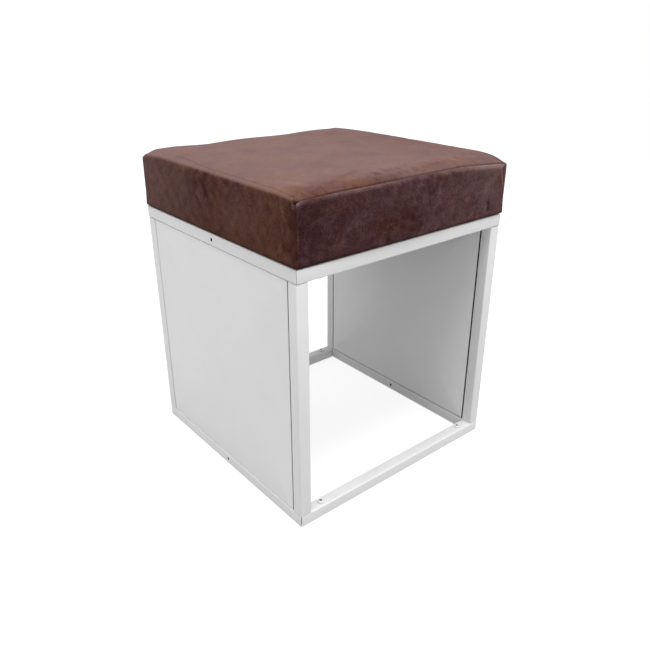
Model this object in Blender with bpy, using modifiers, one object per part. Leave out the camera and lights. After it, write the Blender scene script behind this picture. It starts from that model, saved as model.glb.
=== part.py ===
"""Square pouf: a cube of square steel tube with two side panels and an upholstered seat.

Metres, +Z up. X runs along the front, -Y is the front, and the origin is on the floor under the middle.
"""

import math

import bmesh
import bpy
from mathutils import Matrix

# Frame: two mitred rings of square tube with four posts between them
FRAME_WIDTH = 0.420
FRAME_DEPTH = 0.420
FRAME_HEIGHT = 0.420
TUBE_SIDE = 0.020
TUBE_WALL = 0.0015
TUBE_RADIUS = 0.002
LEAST_RADIUS = 0.0002
MITRE_SEAM = 0.0004

# Clearances
JOINT_GAP = 0.0003
BORE_CLEARANCE = 0.0003
SOFT_GAP = 0.0008

# Corner keys and the button-head screws that clamp them
KEY_SCREW_INSET = 0.046
KEY_PAST_SCREW = 0.012
KEY_CHAMFER = 0.003
SCREW_DIAMETER = 0.006
SCREW_HEAD_DIAMETER = 0.0105
SCREW_HEAD_HEIGHT = 0.0033
SCREW_HEAD_RIM = 0.0006
SCREW_SOCKET_FLATS = 0.004
SCREW_SOCKET_DEPTH = 0.002
SCREW_TIP_CHAMFER = 0.0007
SCREW_TIP_GAP = 0.003

# Side panels, with a pin at the middle of the top and bottom edges
PANEL_THICKNESS = 0.018
PANEL_SIDE_GAP = 0.0015
PANEL_END_GAP = 0.0006
PANEL_BEVEL = 0.0006
PIN_DIAMETER = 0.008
PIN_IN_PANEL = 0.012
PIN_BEVEL = 0.0006

# Set screws that hold the pins
SET_SCREW_DIAMETER = 0.0042
SET_SCREW_SINK = 0.0005
SET_SCREW_PAST_PIN = 0.001
SET_SCREW_FLATS = 0.0022
SET_SCREW_SOCKET_DEPTH = 0.002

# Seat
DUST_COVER_THICKNESS = 0.0008
DUST_COVER_LAP = 0.004
DUST_COVER_CORNER = 0.006
COVER_THICKNESS = 0.0012
HEM_WIDTH = 0.026
BOARD_THICKNESS = 0.012
BOARD_CORNER_RADIUS = 0.020
SEAT_OVERHANG = 0.0005
SEAT_CORNER_HEIGHT = 0.086
SEAM_RISE = 0.0045
CROWN_RISE = 0.008
CROWN_POWER = 14
FRONT_RIGHT_SAG = 0.0045
FRONT_RIGHT_POWER = 6
BACK_SAG = 0.004
BACK_POWER = 4
SIDE_BULGE = 0.0028
TOP_DRAW_IN = 0.0018
TOP_DRAW_POWER = 4
CORNER_DRAW_IN = 0.0015
EDGE_LOOP_HEIGHT = 0.011
CAGE_CUTS = 4

# Seat screws and the insert nuts that they turn into
SEAT_SCREW_SPACING = 0.160
INSERT_COLLAR_DIAMETER = 0.012
INSERT_COLLAR_THICKNESS = 0.0012
INSERT_BARREL_DIAMETER = 0.009
INSERT_LENGTH = 0.010
SEAT_SCREW_TIP_GAP = 0.002

# How finely curves are drawn, and how far a cut runs past a face
ROUND_STEPS = 16
ARC_STEPS = 4
SMOOTH_ANGLE = math.radians(40)
WELD_DISTANCE = 0.000001
CUT_PAST = 0.002
MITRE_BLOCK = 3 * TUBE_SIDE
FOLD_COSINE = 0.7

HALF_WIDTH = FRAME_WIDTH / 2
HALF_DEPTH = FRAME_DEPTH / 2
TUBE_MID = TUBE_SIDE / 2
BORE_SIDE = TUBE_SIDE - 2 * TUBE_WALL
BORE_RADIUS = max(TUBE_RADIUS - TUBE_WALL, LEAST_RADIUS)
TOP_RING_BOTTOM = FRAME_HEIGHT - TUBE_SIDE
KEY_LEG = KEY_SCREW_INSET + KEY_PAST_SCREW
KEY_SIDE = BORE_SIDE - 2 * BORE_CLEARANCE
HEM_BOTTOM = FRAME_HEIGHT + DUST_COVER_THICKNESS + 2 * JOINT_GAP
BOARD_BOTTOM = HEM_BOTTOM + COVER_THICKNESS + JOINT_GAP
BOARD_TOP = BOARD_BOTTOM + BOARD_THICKNESS
LINING = COVER_THICKNESS + SOFT_GAP
SCREW_HOLE = SCREW_DIAMETER + 2 * BORE_CLEARANCE
PIN_HOLE = PIN_DIAMETER + 2 * BORE_CLEARANCE
SEAT_CORNER_TOP = FRAME_HEIGHT + SEAT_CORNER_HEIGHT

for old in list(bpy.data.objects):
    bpy.data.objects.remove(old, do_unlink=True)


def new_collection(name):
    made = bpy.data.collections.new(name)
    bpy.context.scene.collection.children.link(made)
    return made


PARTS = new_collection("pouf")
CUTTERS = new_collection("cutters")


def new_empty(name, parent=None):
    empty = bpy.data.objects.new(name, None)
    empty.parent = parent
    PARTS.objects.link(empty)
    return empty


def new_finish(name, colour, roughness, metallic=0.0):
    finish = bpy.data.materials.new(name)
    finish.use_nodes = True
    shader = finish.node_tree.nodes["Principled BSDF"]
    shader.inputs["Base Color"].default_value = (*colour, 1.0)
    shader.inputs["Roughness"].default_value = roughness
    shader.inputs["Metallic"].default_value = metallic
    return finish


def add_part(name, mesh, finish, parent, location=(0, 0, 0), rotation=(0, 0, 0)):
    part = bpy.data.objects.new(name, mesh)
    part.data.materials.append(finish)
    part.location = location
    part.rotation_euler = rotation
    part.parent = parent
    PARTS.objects.link(part)
    return part


def add_cutter(name, mesh, location=(0, 0, 0), rotation=(0, 0, 0)):
    cutter = bpy.data.objects.new(name, mesh)
    cutter.location = location
    cutter.rotation_euler = rotation
    cutter.hide_render = True
    cutter.display_type = "WIRE"
    CUTTERS.objects.link(cutter)
    return cutter


def cut(part, cutter):
    boolean = part.modifiers.new("cut " + cutter.name, "BOOLEAN")
    boolean.operation = "DIFFERENCE"
    boolean.solver = "EXACT"
    boolean.object = cutter


def bevel(part, width, segments):
    edge = part.modifiers.new("rounded edges", "BEVEL")
    edge.width = width
    edge.segments = segments


def mesh_of(shape, name):
    mesh = bpy.data.meshes.new(name)
    shape.to_mesh(mesh)
    shape.free()
    return mesh


def box_mesh(name, width, depth, height):
    shape = bmesh.new()
    bmesh.ops.create_cube(shape, size=1, matrix=Matrix.Diagonal((width, depth, height, 1)))
    return mesh_of(shape, name)


def cylinder_mesh(name, diameter, length, sides=ROUND_STEPS):
    """A cylinder along Z, centred on the origin."""
    shape = bmesh.new()
    bmesh.ops.create_cone(
        shape, cap_ends=True, segments=sides, radius1=diameter / 2, radius2=diameter / 2, depth=length
    )
    mesh = mesh_of(shape, name)
    mesh.shade_smooth()
    mesh.set_sharp_from_angle(angle=SMOOTH_ANGLE)
    return mesh


def rounded_rectangle(width, depth, radius):
    """The points of a rectangle with round corners, anticlockwise about the origin."""
    points = []
    for turn, (side_x, side_y) in enumerate(((1, 1), (-1, 1), (-1, -1), (1, -1))):
        for step in range(ARC_STEPS + 1):
            angle = (turn + step / ARC_STEPS) * math.pi / 2
            x = side_x * (width / 2 - radius) + radius * math.cos(angle)
            y = side_y * (depth / 2 - radius) + radius * math.sin(angle)
            points.append((x, y))
    return points


def outline_mesh(name, outlines, thickness):
    """A flat outline, with the outlines after the first as holes, extruded along Z about the origin."""
    curve = bpy.data.curves.new(name, "CURVE")
    curve.dimensions = "2D"
    curve.fill_mode = "BOTH"
    curve.extrude = thickness / 2
    for points in outlines:
        spline = curve.splines.new("POLY")
        spline.points.add(len(points) - 1)
        for point, (x, y) in zip(spline.points, points):
            point.co = (x, y, 0, 1)
        spline.use_cyclic_u = True
    drawn = bpy.data.objects.new(name, curve)
    bpy.context.scene.collection.objects.link(drawn)
    evaluated = drawn.evaluated_get(bpy.context.evaluated_depsgraph_get())
    mesh = bpy.data.meshes.new_from_object(evaluated)
    bpy.data.objects.remove(drawn, do_unlink=True)
    shape = bmesh.new()
    shape.from_mesh(mesh)
    bmesh.ops.remove_doubles(shape, verts=shape.verts, dist=WELD_DISTANCE)
    bmesh.ops.recalc_face_normals(shape, faces=shape.faces)
    shape.to_mesh(mesh)
    shape.free()
    mesh.shade_smooth()
    mesh.set_sharp_from_angle(angle=SMOOTH_ANGLE)
    return mesh


def turned_part(name, profile, closed, finish, parent, location, rotation=(0, 0, 0)):
    """A profile of (radius, height) points, given down its outer side, turned about Z."""
    shape = bmesh.new()
    points = [shape.verts.new((radius, 0, height)) for radius, height in profile]
    for first, second in zip(points, points[1:]):
        shape.edges.new((first, second))
    if closed:
        shape.edges.new((points[-1], points[0]))
    part = add_part(name, mesh_of(shape, name), finish, parent, location, rotation)
    turning = part.modifiers.new("turned", "SCREW")
    turning.axis = "Z"
    turning.steps = ROUND_STEPS
    turning.render_steps = ROUND_STEPS
    turning.use_merge_vertices = True
    turning.merge_threshold = WELD_DISTANCE
    return part


def tube_mesh(name, length):
    """A square tube along Z, centred on the origin."""
    outside = rounded_rectangle(TUBE_SIDE, TUBE_SIDE, TUBE_RADIUS)
    bore = rounded_rectangle(BORE_SIDE, BORE_SIDE, BORE_RADIUS)
    return outline_mesh(name, (outside, bore), length)


def add_rail(name, length, location, turn):
    """A rail along X before it is turned about Z, with its outer face to -Y and both ends mitred."""
    mesh = tube_mesh(name, length)
    mesh.transform(Matrix.Rotation(math.pi / 2, 4, "Y"))
    rail = add_part(name, mesh, WHITE_PAINT, FRAME, location, (0, 0, turn))
    reach = (MITRE_BLOCK - MITRE_SEAM) / 2 * math.sqrt(0.5)
    for side in (-1, 1):
        cutter = add_cutter(
            f"{name} mitre {side}",
            box_mesh("mitre", MITRE_BLOCK, MITRE_BLOCK, MITRE_BLOCK),
            (side * (length / 2 - TUBE_MID + reach), reach, 0),
            (0, 0, math.pi / 4),
        )
        cutter.parent = rail
        cut(rail, cutter)
    return rail


def hole(name, diameter, start, end):
    """A round cutter between two points that differ along one axis."""
    middle = [(a + b) / 2 for a, b in zip(start, end)]
    spans = [abs(a - b) for a, b in zip(start, end)]
    turn = {0: (0, math.pi / 2, 0), 1: (math.pi / 2, 0, 0), 2: (0, 0, 0)}[spans.index(max(spans))]
    return add_cutter(name, cylinder_mesh(name, diameter, max(spans)), middle, turn)


def add_screw(name, length, location, head_up, parent):
    """A button-head screw with a hexagon socket, its head seated at the location."""
    radius = SCREW_DIAMETER / 2
    head = SCREW_HEAD_DIAMETER / 2
    dome = SCREW_HEAD_HEIGHT - SCREW_HEAD_RIM
    profile = []
    for step in range(ARC_STEPS + 1):
        angle = step / ARC_STEPS * math.pi / 2
        profile.append((head * math.sin(angle), SCREW_HEAD_RIM + dome * math.cos(angle)))
    profile += [
        (head, 0),
        (radius, 0),
        (radius, SCREW_TIP_CHAMFER - length),
        (radius - SCREW_TIP_CHAMFER, -length),
        (0, -length),
    ]
    turn = (0, 0, 0) if head_up else (math.pi, 0, 0)
    screw = turned_part(name, profile, False, WHITE_STEEL, parent, location, turn)
    add_socket(screw, SCREW_SOCKET_FLATS, SCREW_HEAD_HEIGHT, SCREW_SOCKET_DEPTH)


def add_socket(screw, flats, top, depth):
    """A hexagon socket sunk into the +Z end of a screw."""
    corners = 2 * flats / math.sqrt(3)
    socket = add_cutter(
        f"{screw.name} socket",
        cylinder_mesh("socket", corners, depth + CUT_PAST, 6),
        (0, 0, top - depth + (depth + CUT_PAST) / 2),
    )
    socket.parent = screw
    cut(screw, socket)


def add_frame():
    """The rings, the posts, the corner keys and the key screws."""
    for level, ring_middle in (("bottom", TUBE_MID), ("top", FRAME_HEIGHT - TUBE_MID)):
        inward = 1 if level == "bottom" else -1
        rails = {}
        for end, depth_sign, turn in (("front", -1, 0), ("back", 1, math.pi)):
            place = (0, depth_sign * (HALF_DEPTH - TUBE_MID), ring_middle)
            rails[end] = add_rail(f"{level}_{end}_rail", FRAME_WIDTH, place, turn)
        for side, turn in ((-1, -math.pi / 2), (1, math.pi / 2)):
            hand = "left" if side < 0 else "right"
            place = (side * (HALF_WIDTH - TUBE_MID), 0, ring_middle)
            rail = add_rail(f"{level}_{hand}_rail", FRAME_DEPTH, place, turn)
            add_panel_pin(rail, f"{level}_{hand}", place, inward)
            for end, depth_sign in (("front", -1), ("back", 1)):
                corner = f"{level}_{end}_{hand}"
                key = add_corner_key(corner, side, depth_sign, ring_middle)
                add_key_screw(corner, side, depth_sign, ring_middle, inward, rails[end], key)
        if level == "top":
            add_seat_fixings(rails)
    post_length = FRAME_HEIGHT - 2 * TUBE_SIDE - 2 * JOINT_GAP
    for end, depth_sign in (("front", -1), ("back", 1)):
        for hand, side in (("left", -1), ("right", 1)):
            name = f"{end}_{hand}_post"
            place = (side * (HALF_WIDTH - TUBE_MID), depth_sign * (HALF_DEPTH - TUBE_MID), FRAME_HEIGHT / 2)
            add_part(name, tube_mesh(name, post_length), WHITE_PAINT, FRAME, place)


def add_corner_key(corner, side, depth_sign, ring_middle):
    """An L-shaped key that fills the bores of two rails where they meet at a corner."""
    near = TUBE_WALL + BORE_CLEARANCE
    far = near + KEY_SIDE
    outline = [
        (near + KEY_CHAMFER, near),
        (KEY_LEG, near),
        (KEY_LEG, far),
        (far, far),
        (far, KEY_LEG),
        (near, KEY_LEG),
        (near, near + KEY_CHAMFER),
    ]
    turn = {(-1, -1): 0, (1, -1): 1, (1, 1): 2, (-1, 1): 3}[(side, depth_sign)] * math.pi / 2
    place = (side * HALF_WIDTH, depth_sign * HALF_DEPTH, ring_middle)
    name = f"{corner}_corner_key"
    key = add_part(name, outline_mesh(name, (outline,), KEY_SIDE), CAST_METAL, FRAME, place, (0, 0, turn))
    bevel(key, BORE_RADIUS + BORE_CLEARANCE, 1)
    return key


def add_key_screw(corner, side, depth_sign, ring_middle, inward, rail, key):
    """A screw through a front or back rail's inner wall into the corner key, with the hole for both."""
    x = side * (HALF_WIDTH - KEY_SCREW_INSET)
    y = depth_sign * (HALF_DEPTH - TUBE_MID)
    face = ring_middle + inward * TUBE_MID
    tip_stop = ring_middle - inward * (TUBE_MID - TUBE_WALL)
    drilled = hole(f"{corner} screw hole", SCREW_HOLE, (x, y, face + inward * CUT_PAST), (x, y, tip_stop))
    cut(rail, drilled)
    tapped = hole(f"{corner} key hole", SCREW_HOLE, (x, y, face), (x, y, tip_stop - inward * TUBE_WALL))
    cut(key, tapped)
    length = TUBE_SIDE - TUBE_WALL - SCREW_TIP_GAP
    add_screw(f"{corner}_key_screw", length, (x, y, face + inward * JOINT_GAP), inward > 0, FRAME)


def add_panel_pin(rail, place_name, place, inward):
    """A pin from a side rail into the panel's edge, with the set screw that holds it."""
    x, y, ring_middle = place
    foot = ring_middle - inward * (TUBE_MID - TUBE_WALL - JOINT_GAP)
    panel_edge = ring_middle + inward * (TUBE_MID + PANEL_END_GAP)
    top = panel_edge + inward * PIN_IN_PANEL
    name = f"{place_name}_panel_pin"
    mesh = cylinder_mesh(name, PIN_DIAMETER, abs(top - foot))
    pin = add_part(name, mesh, BRIGHT_STEEL, FRAME, (x, y, (foot + top) / 2))
    bevel(pin, PIN_BEVEL, 1)
    past_wall = panel_edge + inward * CUT_PAST
    cut(rail, hole(f"{place_name} pin hole", PIN_HOLE, (x, y, ring_middle), (x, y, past_wall)))

    face = x - TUBE_MID
    head = face + SET_SCREW_SINK
    tip = x + PIN_DIAMETER / 2 + SET_SCREW_PAST_PIN
    screw_hole = SET_SCREW_DIAMETER + 2 * BORE_CLEARANCE
    tapped = hole(
        f"{place_name} set screw hole",
        screw_hole,
        (face - CUT_PAST, y, ring_middle),
        (tip + JOINT_GAP, y, ring_middle),
    )
    cut(rail, tapped)
    cut(pin, tapped)
    name = f"{place_name}_set_screw"
    mesh = cylinder_mesh(name, SET_SCREW_DIAMETER, tip - head)
    middle = ((head + tip) / 2, y, ring_middle)
    screw = add_part(name, mesh, BLACK_STEEL, FRAME, middle, (0, -math.pi / 2, 0))
    add_socket(screw, SET_SCREW_FLATS, (tip - head) / 2, SET_SCREW_SOCKET_DEPTH)


def add_side_panels():
    """The two panels that close the left and right sides, each with a blind hole for both of its pins."""
    depth = FRAME_DEPTH - 2 * TUBE_SIDE - 2 * PANEL_SIDE_GAP
    height = FRAME_HEIGHT - 2 * TUBE_SIDE - 2 * PANEL_END_GAP
    for hand, side in (("left", -1), ("right", 1)):
        x = side * (HALF_WIDTH - TUBE_MID)
        name = f"{hand}_panel"
        mesh = box_mesh(name, PANEL_THICKNESS, depth, height)
        panel = add_part(name, mesh, WHITE_BOARD, FRAME, (x, 0, FRAME_HEIGHT / 2))
        bevel(panel, PANEL_BEVEL, 2)
        for sign in (-1, 1):
            edge = FRAME_HEIGHT / 2 + sign * height / 2
            deep = edge - sign * (PIN_IN_PANEL + JOINT_GAP)
            past_edge = edge + sign * CUT_PAST
            cut(panel, hole(f"{hand} blind hole {sign}", PIN_HOLE, (x, 0, past_edge), (x, 0, deep)))


def seat_screw_places():
    for end, depth_sign in (("front", -1), ("back", 1)):
        for hand, side in (("left", -1), ("right", 1)):
            yield end, hand, side * SEAT_SCREW_SPACING / 2, depth_sign * (HALF_DEPTH - TUBE_MID)


def add_seat_fixings(rails):
    """The seat screws, up through both walls of the top front and back rails, and their insert nuts."""
    length = BOARD_TOP - SEAT_SCREW_TIP_GAP - TOP_RING_BOTTOM
    collar = INSERT_COLLAR_DIAMETER / 2
    barrel = INSERT_BARREL_DIAMETER / 2
    bore = SCREW_HOLE / 2
    profile = [
        (bore, INSERT_LENGTH),
        (barrel, INSERT_LENGTH),
        (barrel, INSERT_COLLAR_THICKNESS),
        (collar, INSERT_COLLAR_THICKNESS),
        (collar, 0),
        (bore, 0),
    ]
    for end, hand, x, y in seat_screw_places():
        drilled = hole(
            f"{end} {hand} seat screw hole",
            SCREW_HOLE,
            (x, y, TOP_RING_BOTTOM - CUT_PAST),
            (x, y, FRAME_HEIGHT + CUT_PAST),
        )
        cut(rails[end], drilled)
        add_screw(f"{end}_{hand}_seat_screw", length, (x, y, TOP_RING_BOTTOM - JOINT_GAP), False, SEAT)
        turned_part(f"{end}_{hand}_insert_nut", profile, True, BRIGHT_STEEL, SEAT, (x, y, BOARD_BOTTOM))


def add_seat_board():
    """The plywood board, with a stepped hole from below for each insert nut."""
    inset = SEAT_OVERHANG - LINING
    outline = rounded_rectangle(FRAME_WIDTH + 2 * inset, FRAME_DEPTH + 2 * inset, BOARD_CORNER_RADIUS)
    mesh = outline_mesh("seat_board", (outline,), BOARD_THICKNESS)
    board = add_part("seat_board", mesh, PLYWOOD, SEAT, (0, 0, BOARD_BOTTOM + BOARD_THICKNESS / 2))
    barrel_hole = INSERT_BARREL_DIAMETER + 2 * BORE_CLEARANCE
    collar_hole = INSERT_COLLAR_DIAMETER + 2 * BORE_CLEARANCE
    below = BOARD_BOTTOM - CUT_PAST
    collar_seat = BOARD_BOTTOM + INSERT_COLLAR_THICKNESS + JOINT_GAP
    for end, hand, x, y in seat_screw_places():
        name = f"{end} {hand} insert"
        cut(board, hole(f"{name} hole", barrel_hole, (x, y, below), (x, y, BOARD_TOP + CUT_PAST)))
        cut(board, hole(f"{name} sinking", collar_hole, (x, y, below), (x, y, collar_seat)))


def add_dust_cover():
    """The thin cloth under the board, which laps onto the top ring inside the seat screws."""
    width = FRAME_WIDTH - 2 * TUBE_SIDE + 2 * DUST_COVER_LAP
    depth = FRAME_DEPTH - 2 * TUBE_SIDE + 2 * DUST_COVER_LAP
    outline = rounded_rectangle(width, depth, DUST_COVER_CORNER)
    mesh = outline_mesh("dust_cover", (outline,), DUST_COVER_THICKNESS)
    middle = FRAME_HEIGHT + JOINT_GAP + DUST_COVER_THICKNESS / 2
    add_part("dust_cover", mesh, BLACK_CLOTH, SEAT, (0, 0, middle))


def spread(t, half, loop):
    """Moves an even grid coordinate, -1 to 1, so that the outermost cell is one edge loop wide."""
    last_inner = 1 - 2 / (CAGE_CUTS + 1)
    if abs(t) > (1 + last_inner) / 2:
        return math.copysign(half, t)
    return t / last_inner * (half - loop)


def cushion_cage(inset, bottom):
    """A box cage with a crowned top and full sides, drawn in at the corners and along the top edges.

    The height of the top is the corner height, plus a rise towards the middle of each edge, plus a crown
    that stays level across the middle and falls towards the edges, less a sag at the front right corner
    and another along the back.
    """
    shape = bmesh.new()
    bmesh.ops.create_cube(shape, size=2)
    bmesh.ops.subdivide_edges(shape, edges=shape.edges, cuts=CAGE_CUTS, use_grid_fill=True)
    half_width = HALF_WIDTH + SEAT_OVERHANG
    half_depth = HALF_DEPTH + SEAT_OVERHANG
    for vertex in shape.verts:
        u, v, w = vertex.co
        x = spread(u, half_width - inset, HEM_WIDTH)
        y = spread(v, half_depth - inset, HEM_WIDTH)
        across = x / half_width
        along = y / half_depth
        rise = SEAM_RISE * (1 - min(across * across, along * along))
        crown = CROWN_RISE * (1 - abs(along) ** CROWN_POWER) * (1 - abs(across) ** CROWN_POWER)
        corner_sag = FRONT_RIGHT_SAG * ((1 + across) / 2 * (1 - along) / 2) ** FRONT_RIGHT_POWER
        back_sag = BACK_SAG * ((1 + along) / 2) ** BACK_POWER * (1 - across * across)
        top = SEAT_CORNER_TOP - inset + rise + crown - corner_sag - back_sag
        half_height = (top - bottom) / 2
        z = bottom + half_height + spread(w, half_height, EDGE_LOOP_HEIGHT)
        level = (z - HEM_BOTTOM) / (SEAT_CORNER_TOP - HEM_BOTTOM)
        swell = SIDE_BULGE * math.sin(math.pi * min(level, 1)) - TOP_DRAW_IN * max(level, 0) ** TOP_DRAW_POWER
        on_side_x = abs(x) > half_width - inset - HEM_WIDTH / 2
        on_side_y = abs(y) > half_depth - inset - HEM_WIDTH / 2
        if on_side_x and on_side_y:
            x -= math.copysign(CORNER_DRAW_IN, u)
            y -= math.copysign(CORNER_DRAW_IN, v)
        elif on_side_x:
            x += math.copysign(swell * (1 - along * along), u)
        elif on_side_y:
            y += math.copysign(swell * (1 - across * across), v)
        vertex.co = (x, y, z)
    crease_seams(shape, bottom)
    return shape


def crease_seams(shape, bottom):
    """Keeps the bottom fold and the seams of the front and back panels crisp, and the other edges soft."""
    crease = shape.edges.layers.float.new("crease_edge")
    shape.normal_update()
    for edge in shape.edges:
        normals = [face.normal for face in edge.link_faces]
        turned = normals[0].dot(normals[1]) < FOLD_COSINE
        at_fold = all(vertex.co.z < bottom + EDGE_LOOP_HEIGHT / 2 for vertex in edge.verts)
        at_end_panel = any(abs(normal.y) > FOLD_COSINE for normal in normals)
        if turned and (at_fold or at_end_panel):
            edge[crease] = 1.0


def soften(part):
    smooth = part.modifiers.new("soft form", "SUBSURF")
    smooth.levels = 1
    smooth.render_levels = 1


def add_foam():
    mesh = mesh_of(cushion_cage(LINING, BOARD_TOP + JOINT_GAP), "foam_block")
    mesh.shade_smooth()
    soften(add_part("foam_block", mesh, FOAM, SEAT))


def add_cover():
    """The sewn cover: open below, with a hem turned in under the board and a hole for each seat screw."""
    shape = cushion_cage(0, HEM_BOTTOM)
    inner_width = HALF_WIDTH - HEM_WIDTH + SOFT_GAP
    inner_depth = HALF_DEPTH - HEM_WIDTH + SOFT_GAP
    inside_hem = []
    for face in shape.faces:
        middle = face.calc_center_median()
        if face.normal.z < -FOLD_COSINE and abs(middle.x) < inner_width and abs(middle.y) < inner_depth:
            inside_hem.append(face)
    bmesh.ops.delete(shape, geom=inside_hem, context="FACES")
    mesh = mesh_of(shape, "seat_cover")
    mesh.shade_smooth()
    cover = add_part("seat_cover", mesh, BROWN_VELVET, SEAT)
    soften(cover)
    cloth = cover.modifiers.new("cloth", "SOLIDIFY")
    cloth.thickness = COVER_THICKNESS
    cloth.offset = -1
    cloth.use_even_offset = True
    for end, hand, x, y in seat_screw_places():
        pierced = hole(
            f"{end} {hand} hem hole",
            SCREW_HOLE,
            (x, y, HEM_BOTTOM - CUT_PAST),
            (x, y, HEM_BOTTOM + COVER_THICKNESS + CUT_PAST),
        )
        cut(cover, pierced)


WHITE_PAINT = new_finish("white powder coat", (0.80, 0.80, 0.80), 0.45)
WHITE_BOARD = new_finish("white laminate", (0.78, 0.78, 0.78), 0.5)
WHITE_STEEL = new_finish("white coated steel", (0.80, 0.80, 0.80), 0.4)
CAST_METAL = new_finish("cast aluminium", (0.45, 0.45, 0.46), 0.5, 1.0)
BRIGHT_STEEL = new_finish("zinc plated steel", (0.60, 0.60, 0.62), 0.35, 1.0)
BLACK_STEEL = new_finish("black steel", (0.02, 0.02, 0.02), 0.5, 1.0)
PLYWOOD = new_finish("plywood", (0.55, 0.38, 0.22), 0.7)
FOAM = new_finish("foam", (0.80, 0.72, 0.50), 0.9)
BROWN_VELVET = new_finish("brown velvet", (0.085, 0.045, 0.038), 0.85)
BLACK_CLOTH = new_finish("black cloth", (0.02, 0.02, 0.02), 0.95)

POUF = new_empty("pouf_origin")
FRAME = new_empty("frame_origin", POUF)
SEAT = new_empty("seat_origin", POUF)

add_frame()
add_side_panels()
add_seat_board()
add_dust_cover()
add_foam()
add_cover()
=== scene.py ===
# Looks of the pouf: a cube of white square tube with white side panels under a brown velvet seat.
import math

import bpy
import numpy as np
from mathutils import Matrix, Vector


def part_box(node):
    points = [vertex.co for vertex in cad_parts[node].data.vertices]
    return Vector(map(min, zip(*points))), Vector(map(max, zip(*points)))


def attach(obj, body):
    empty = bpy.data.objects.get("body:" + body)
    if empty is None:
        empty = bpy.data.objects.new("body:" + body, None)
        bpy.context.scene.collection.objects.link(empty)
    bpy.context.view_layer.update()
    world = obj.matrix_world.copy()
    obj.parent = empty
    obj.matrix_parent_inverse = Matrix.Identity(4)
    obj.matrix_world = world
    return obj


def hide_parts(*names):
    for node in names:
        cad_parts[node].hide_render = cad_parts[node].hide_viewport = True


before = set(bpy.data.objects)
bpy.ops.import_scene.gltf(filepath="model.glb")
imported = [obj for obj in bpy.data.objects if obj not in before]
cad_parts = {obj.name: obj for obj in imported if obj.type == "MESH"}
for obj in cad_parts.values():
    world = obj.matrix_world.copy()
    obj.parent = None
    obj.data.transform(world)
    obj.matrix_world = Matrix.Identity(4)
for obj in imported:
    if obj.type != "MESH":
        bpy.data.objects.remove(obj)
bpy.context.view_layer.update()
print("frame loaded with", len(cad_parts), "nodes")

mm = 0.001
scene = bpy.context.scene
scene.view_settings.view_transform = "Standard"


# Node helpers: each puts one node in a tree and gives back its result

def feed(tree, socket, value):
    # a socket is linked, a plain number or colour is set
    if isinstance(value, bpy.types.NodeSocket):
        tree.links.new(value, socket)
    else:
        socket.default_value = value


def nodeOf(tree, kind, **values):
    node = tree.nodes.new("ShaderNode" + kind)
    for name, value in values.items():
        feed(tree, node.inputs[name], value)
    return node


def mathOf(tree, operation, *values):
    node = nodeOf(tree, "Math")
    node.operation = operation
    for socket, value in zip(node.inputs, values):
        feed(tree, socket, value)
    return node.outputs[0]


def plus(tree, first, second):
    return mathOf(tree, "ADD", first, second)


def minus(tree, first, second):
    return mathOf(tree, "SUBTRACT", first, second)


def times(tree, product, *others):
    for other in others:
        product = mathOf(tree, "MULTIPLY", product, other)
    return product


def noiseOf(tree, vector, scale, detail=3.0, roughness=0.5, distortion=0.0):
    node = nodeOf(tree, "TexNoise", Vector=vector, Scale=scale, Detail=detail, Roughness=roughness,
                  Distortion=distortion)
    return node.outputs[0]


def rangeOf(tree, value, low, high, toLow=0.0, toHigh=1.0):
    node = nodeOf(tree, "MapRange")
    node.interpolation_type = "SMOOTHSTEP"
    for socket, number in zip(node.inputs, (value, low, high, toLow, toHigh)):
        feed(tree, socket, number)
    return node.outputs[0]


def blendOf(tree, factor, first, second, mode="MIX"):
    node = nodeOf(tree, "Mix")
    node.data_type = "RGBA"
    node.blend_type = mode
    for place, value in ((0, factor), (6, first), (7, second)):      # sockets of the colour blend
        feed(tree, node.inputs[place], value)
    return node.outputs[2]


def stretchOf(tree, vector, scale, turn=(0.0, 0.0, 0.0)):
    return nodeOf(tree, "Mapping", Vector=vector, Scale=scale, Rotation=turn).outputs[0]


def upOf(tree, vector):
    return nodeOf(tree, "SeparateXYZ", Vector=vector).outputs["Z"]


def attributeOf(tree, name):
    node = nodeOf(tree, "Attribute")
    node.attribute_name = name
    return node.outputs["Fac"]


def seenOf(tree):
    # 1 for rays that the camera sees, straight or by way of a shiny or clear face
    rays = nodeOf(tree, "LightPath").outputs
    indirect = mathOf(tree, "MAXIMUM", rays["Is Glossy Ray"], rays["Is Transmission Ray"])
    return mathOf(tree, "MAXIMUM", rays["Is Camera Ray"], indirect)


def newGroup(name, settings, resultName):
    # a group that takes a place and the named numbers and gives back one number
    group = bpy.data.node_groups.new(name, "ShaderNodeTree")
    sockets = group.interface
    sockets.new_socket(name="Vector", in_out="INPUT", socket_type="NodeSocketVector")
    for socketName, value in settings.items():
        socket = sockets.new_socket(name=socketName, in_out="INPUT", socket_type="NodeSocketFloat")
        socket.default_value = value
    sockets.new_socket(name=resultName, in_out="OUTPUT", socket_type="NodeSocketFloat")
    given = group.nodes.new("NodeGroupInput").outputs
    return group, given, group.nodes.new("NodeGroupOutput").inputs[0]


def placeGroup(tree, group, **values):
    node = nodeOf(tree, "Group")
    node.node_tree = group
    for name, value in values.items():
        feed(tree, node.inputs[name], value)
    return node.outputs[0]


def newFinish(name):
    material = bpy.data.materials.new(name)
    material.use_nodes = True
    tree = material.node_tree
    places = nodeOf(tree, "TexCoord").outputs["Object"]
    return material, tree, tree.nodes["Principled BSDF"].inputs, places


def dress(tree, shader, colour, roughness, height, strength, depth):
    # what varies over every finish: its colour, its roughness and the bump of its skin
    bump = nodeOf(tree, "Bump", Strength=strength, Distance=depth, Height=height).outputs[0]
    for name, value in (("Base Color", colour), ("Roughness", roughness), ("Normal", bump)):
        feed(tree, shader[name], value)


def grey(level):
    return (level, level, level, 1.0)


# Effects that several finishes share

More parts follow.
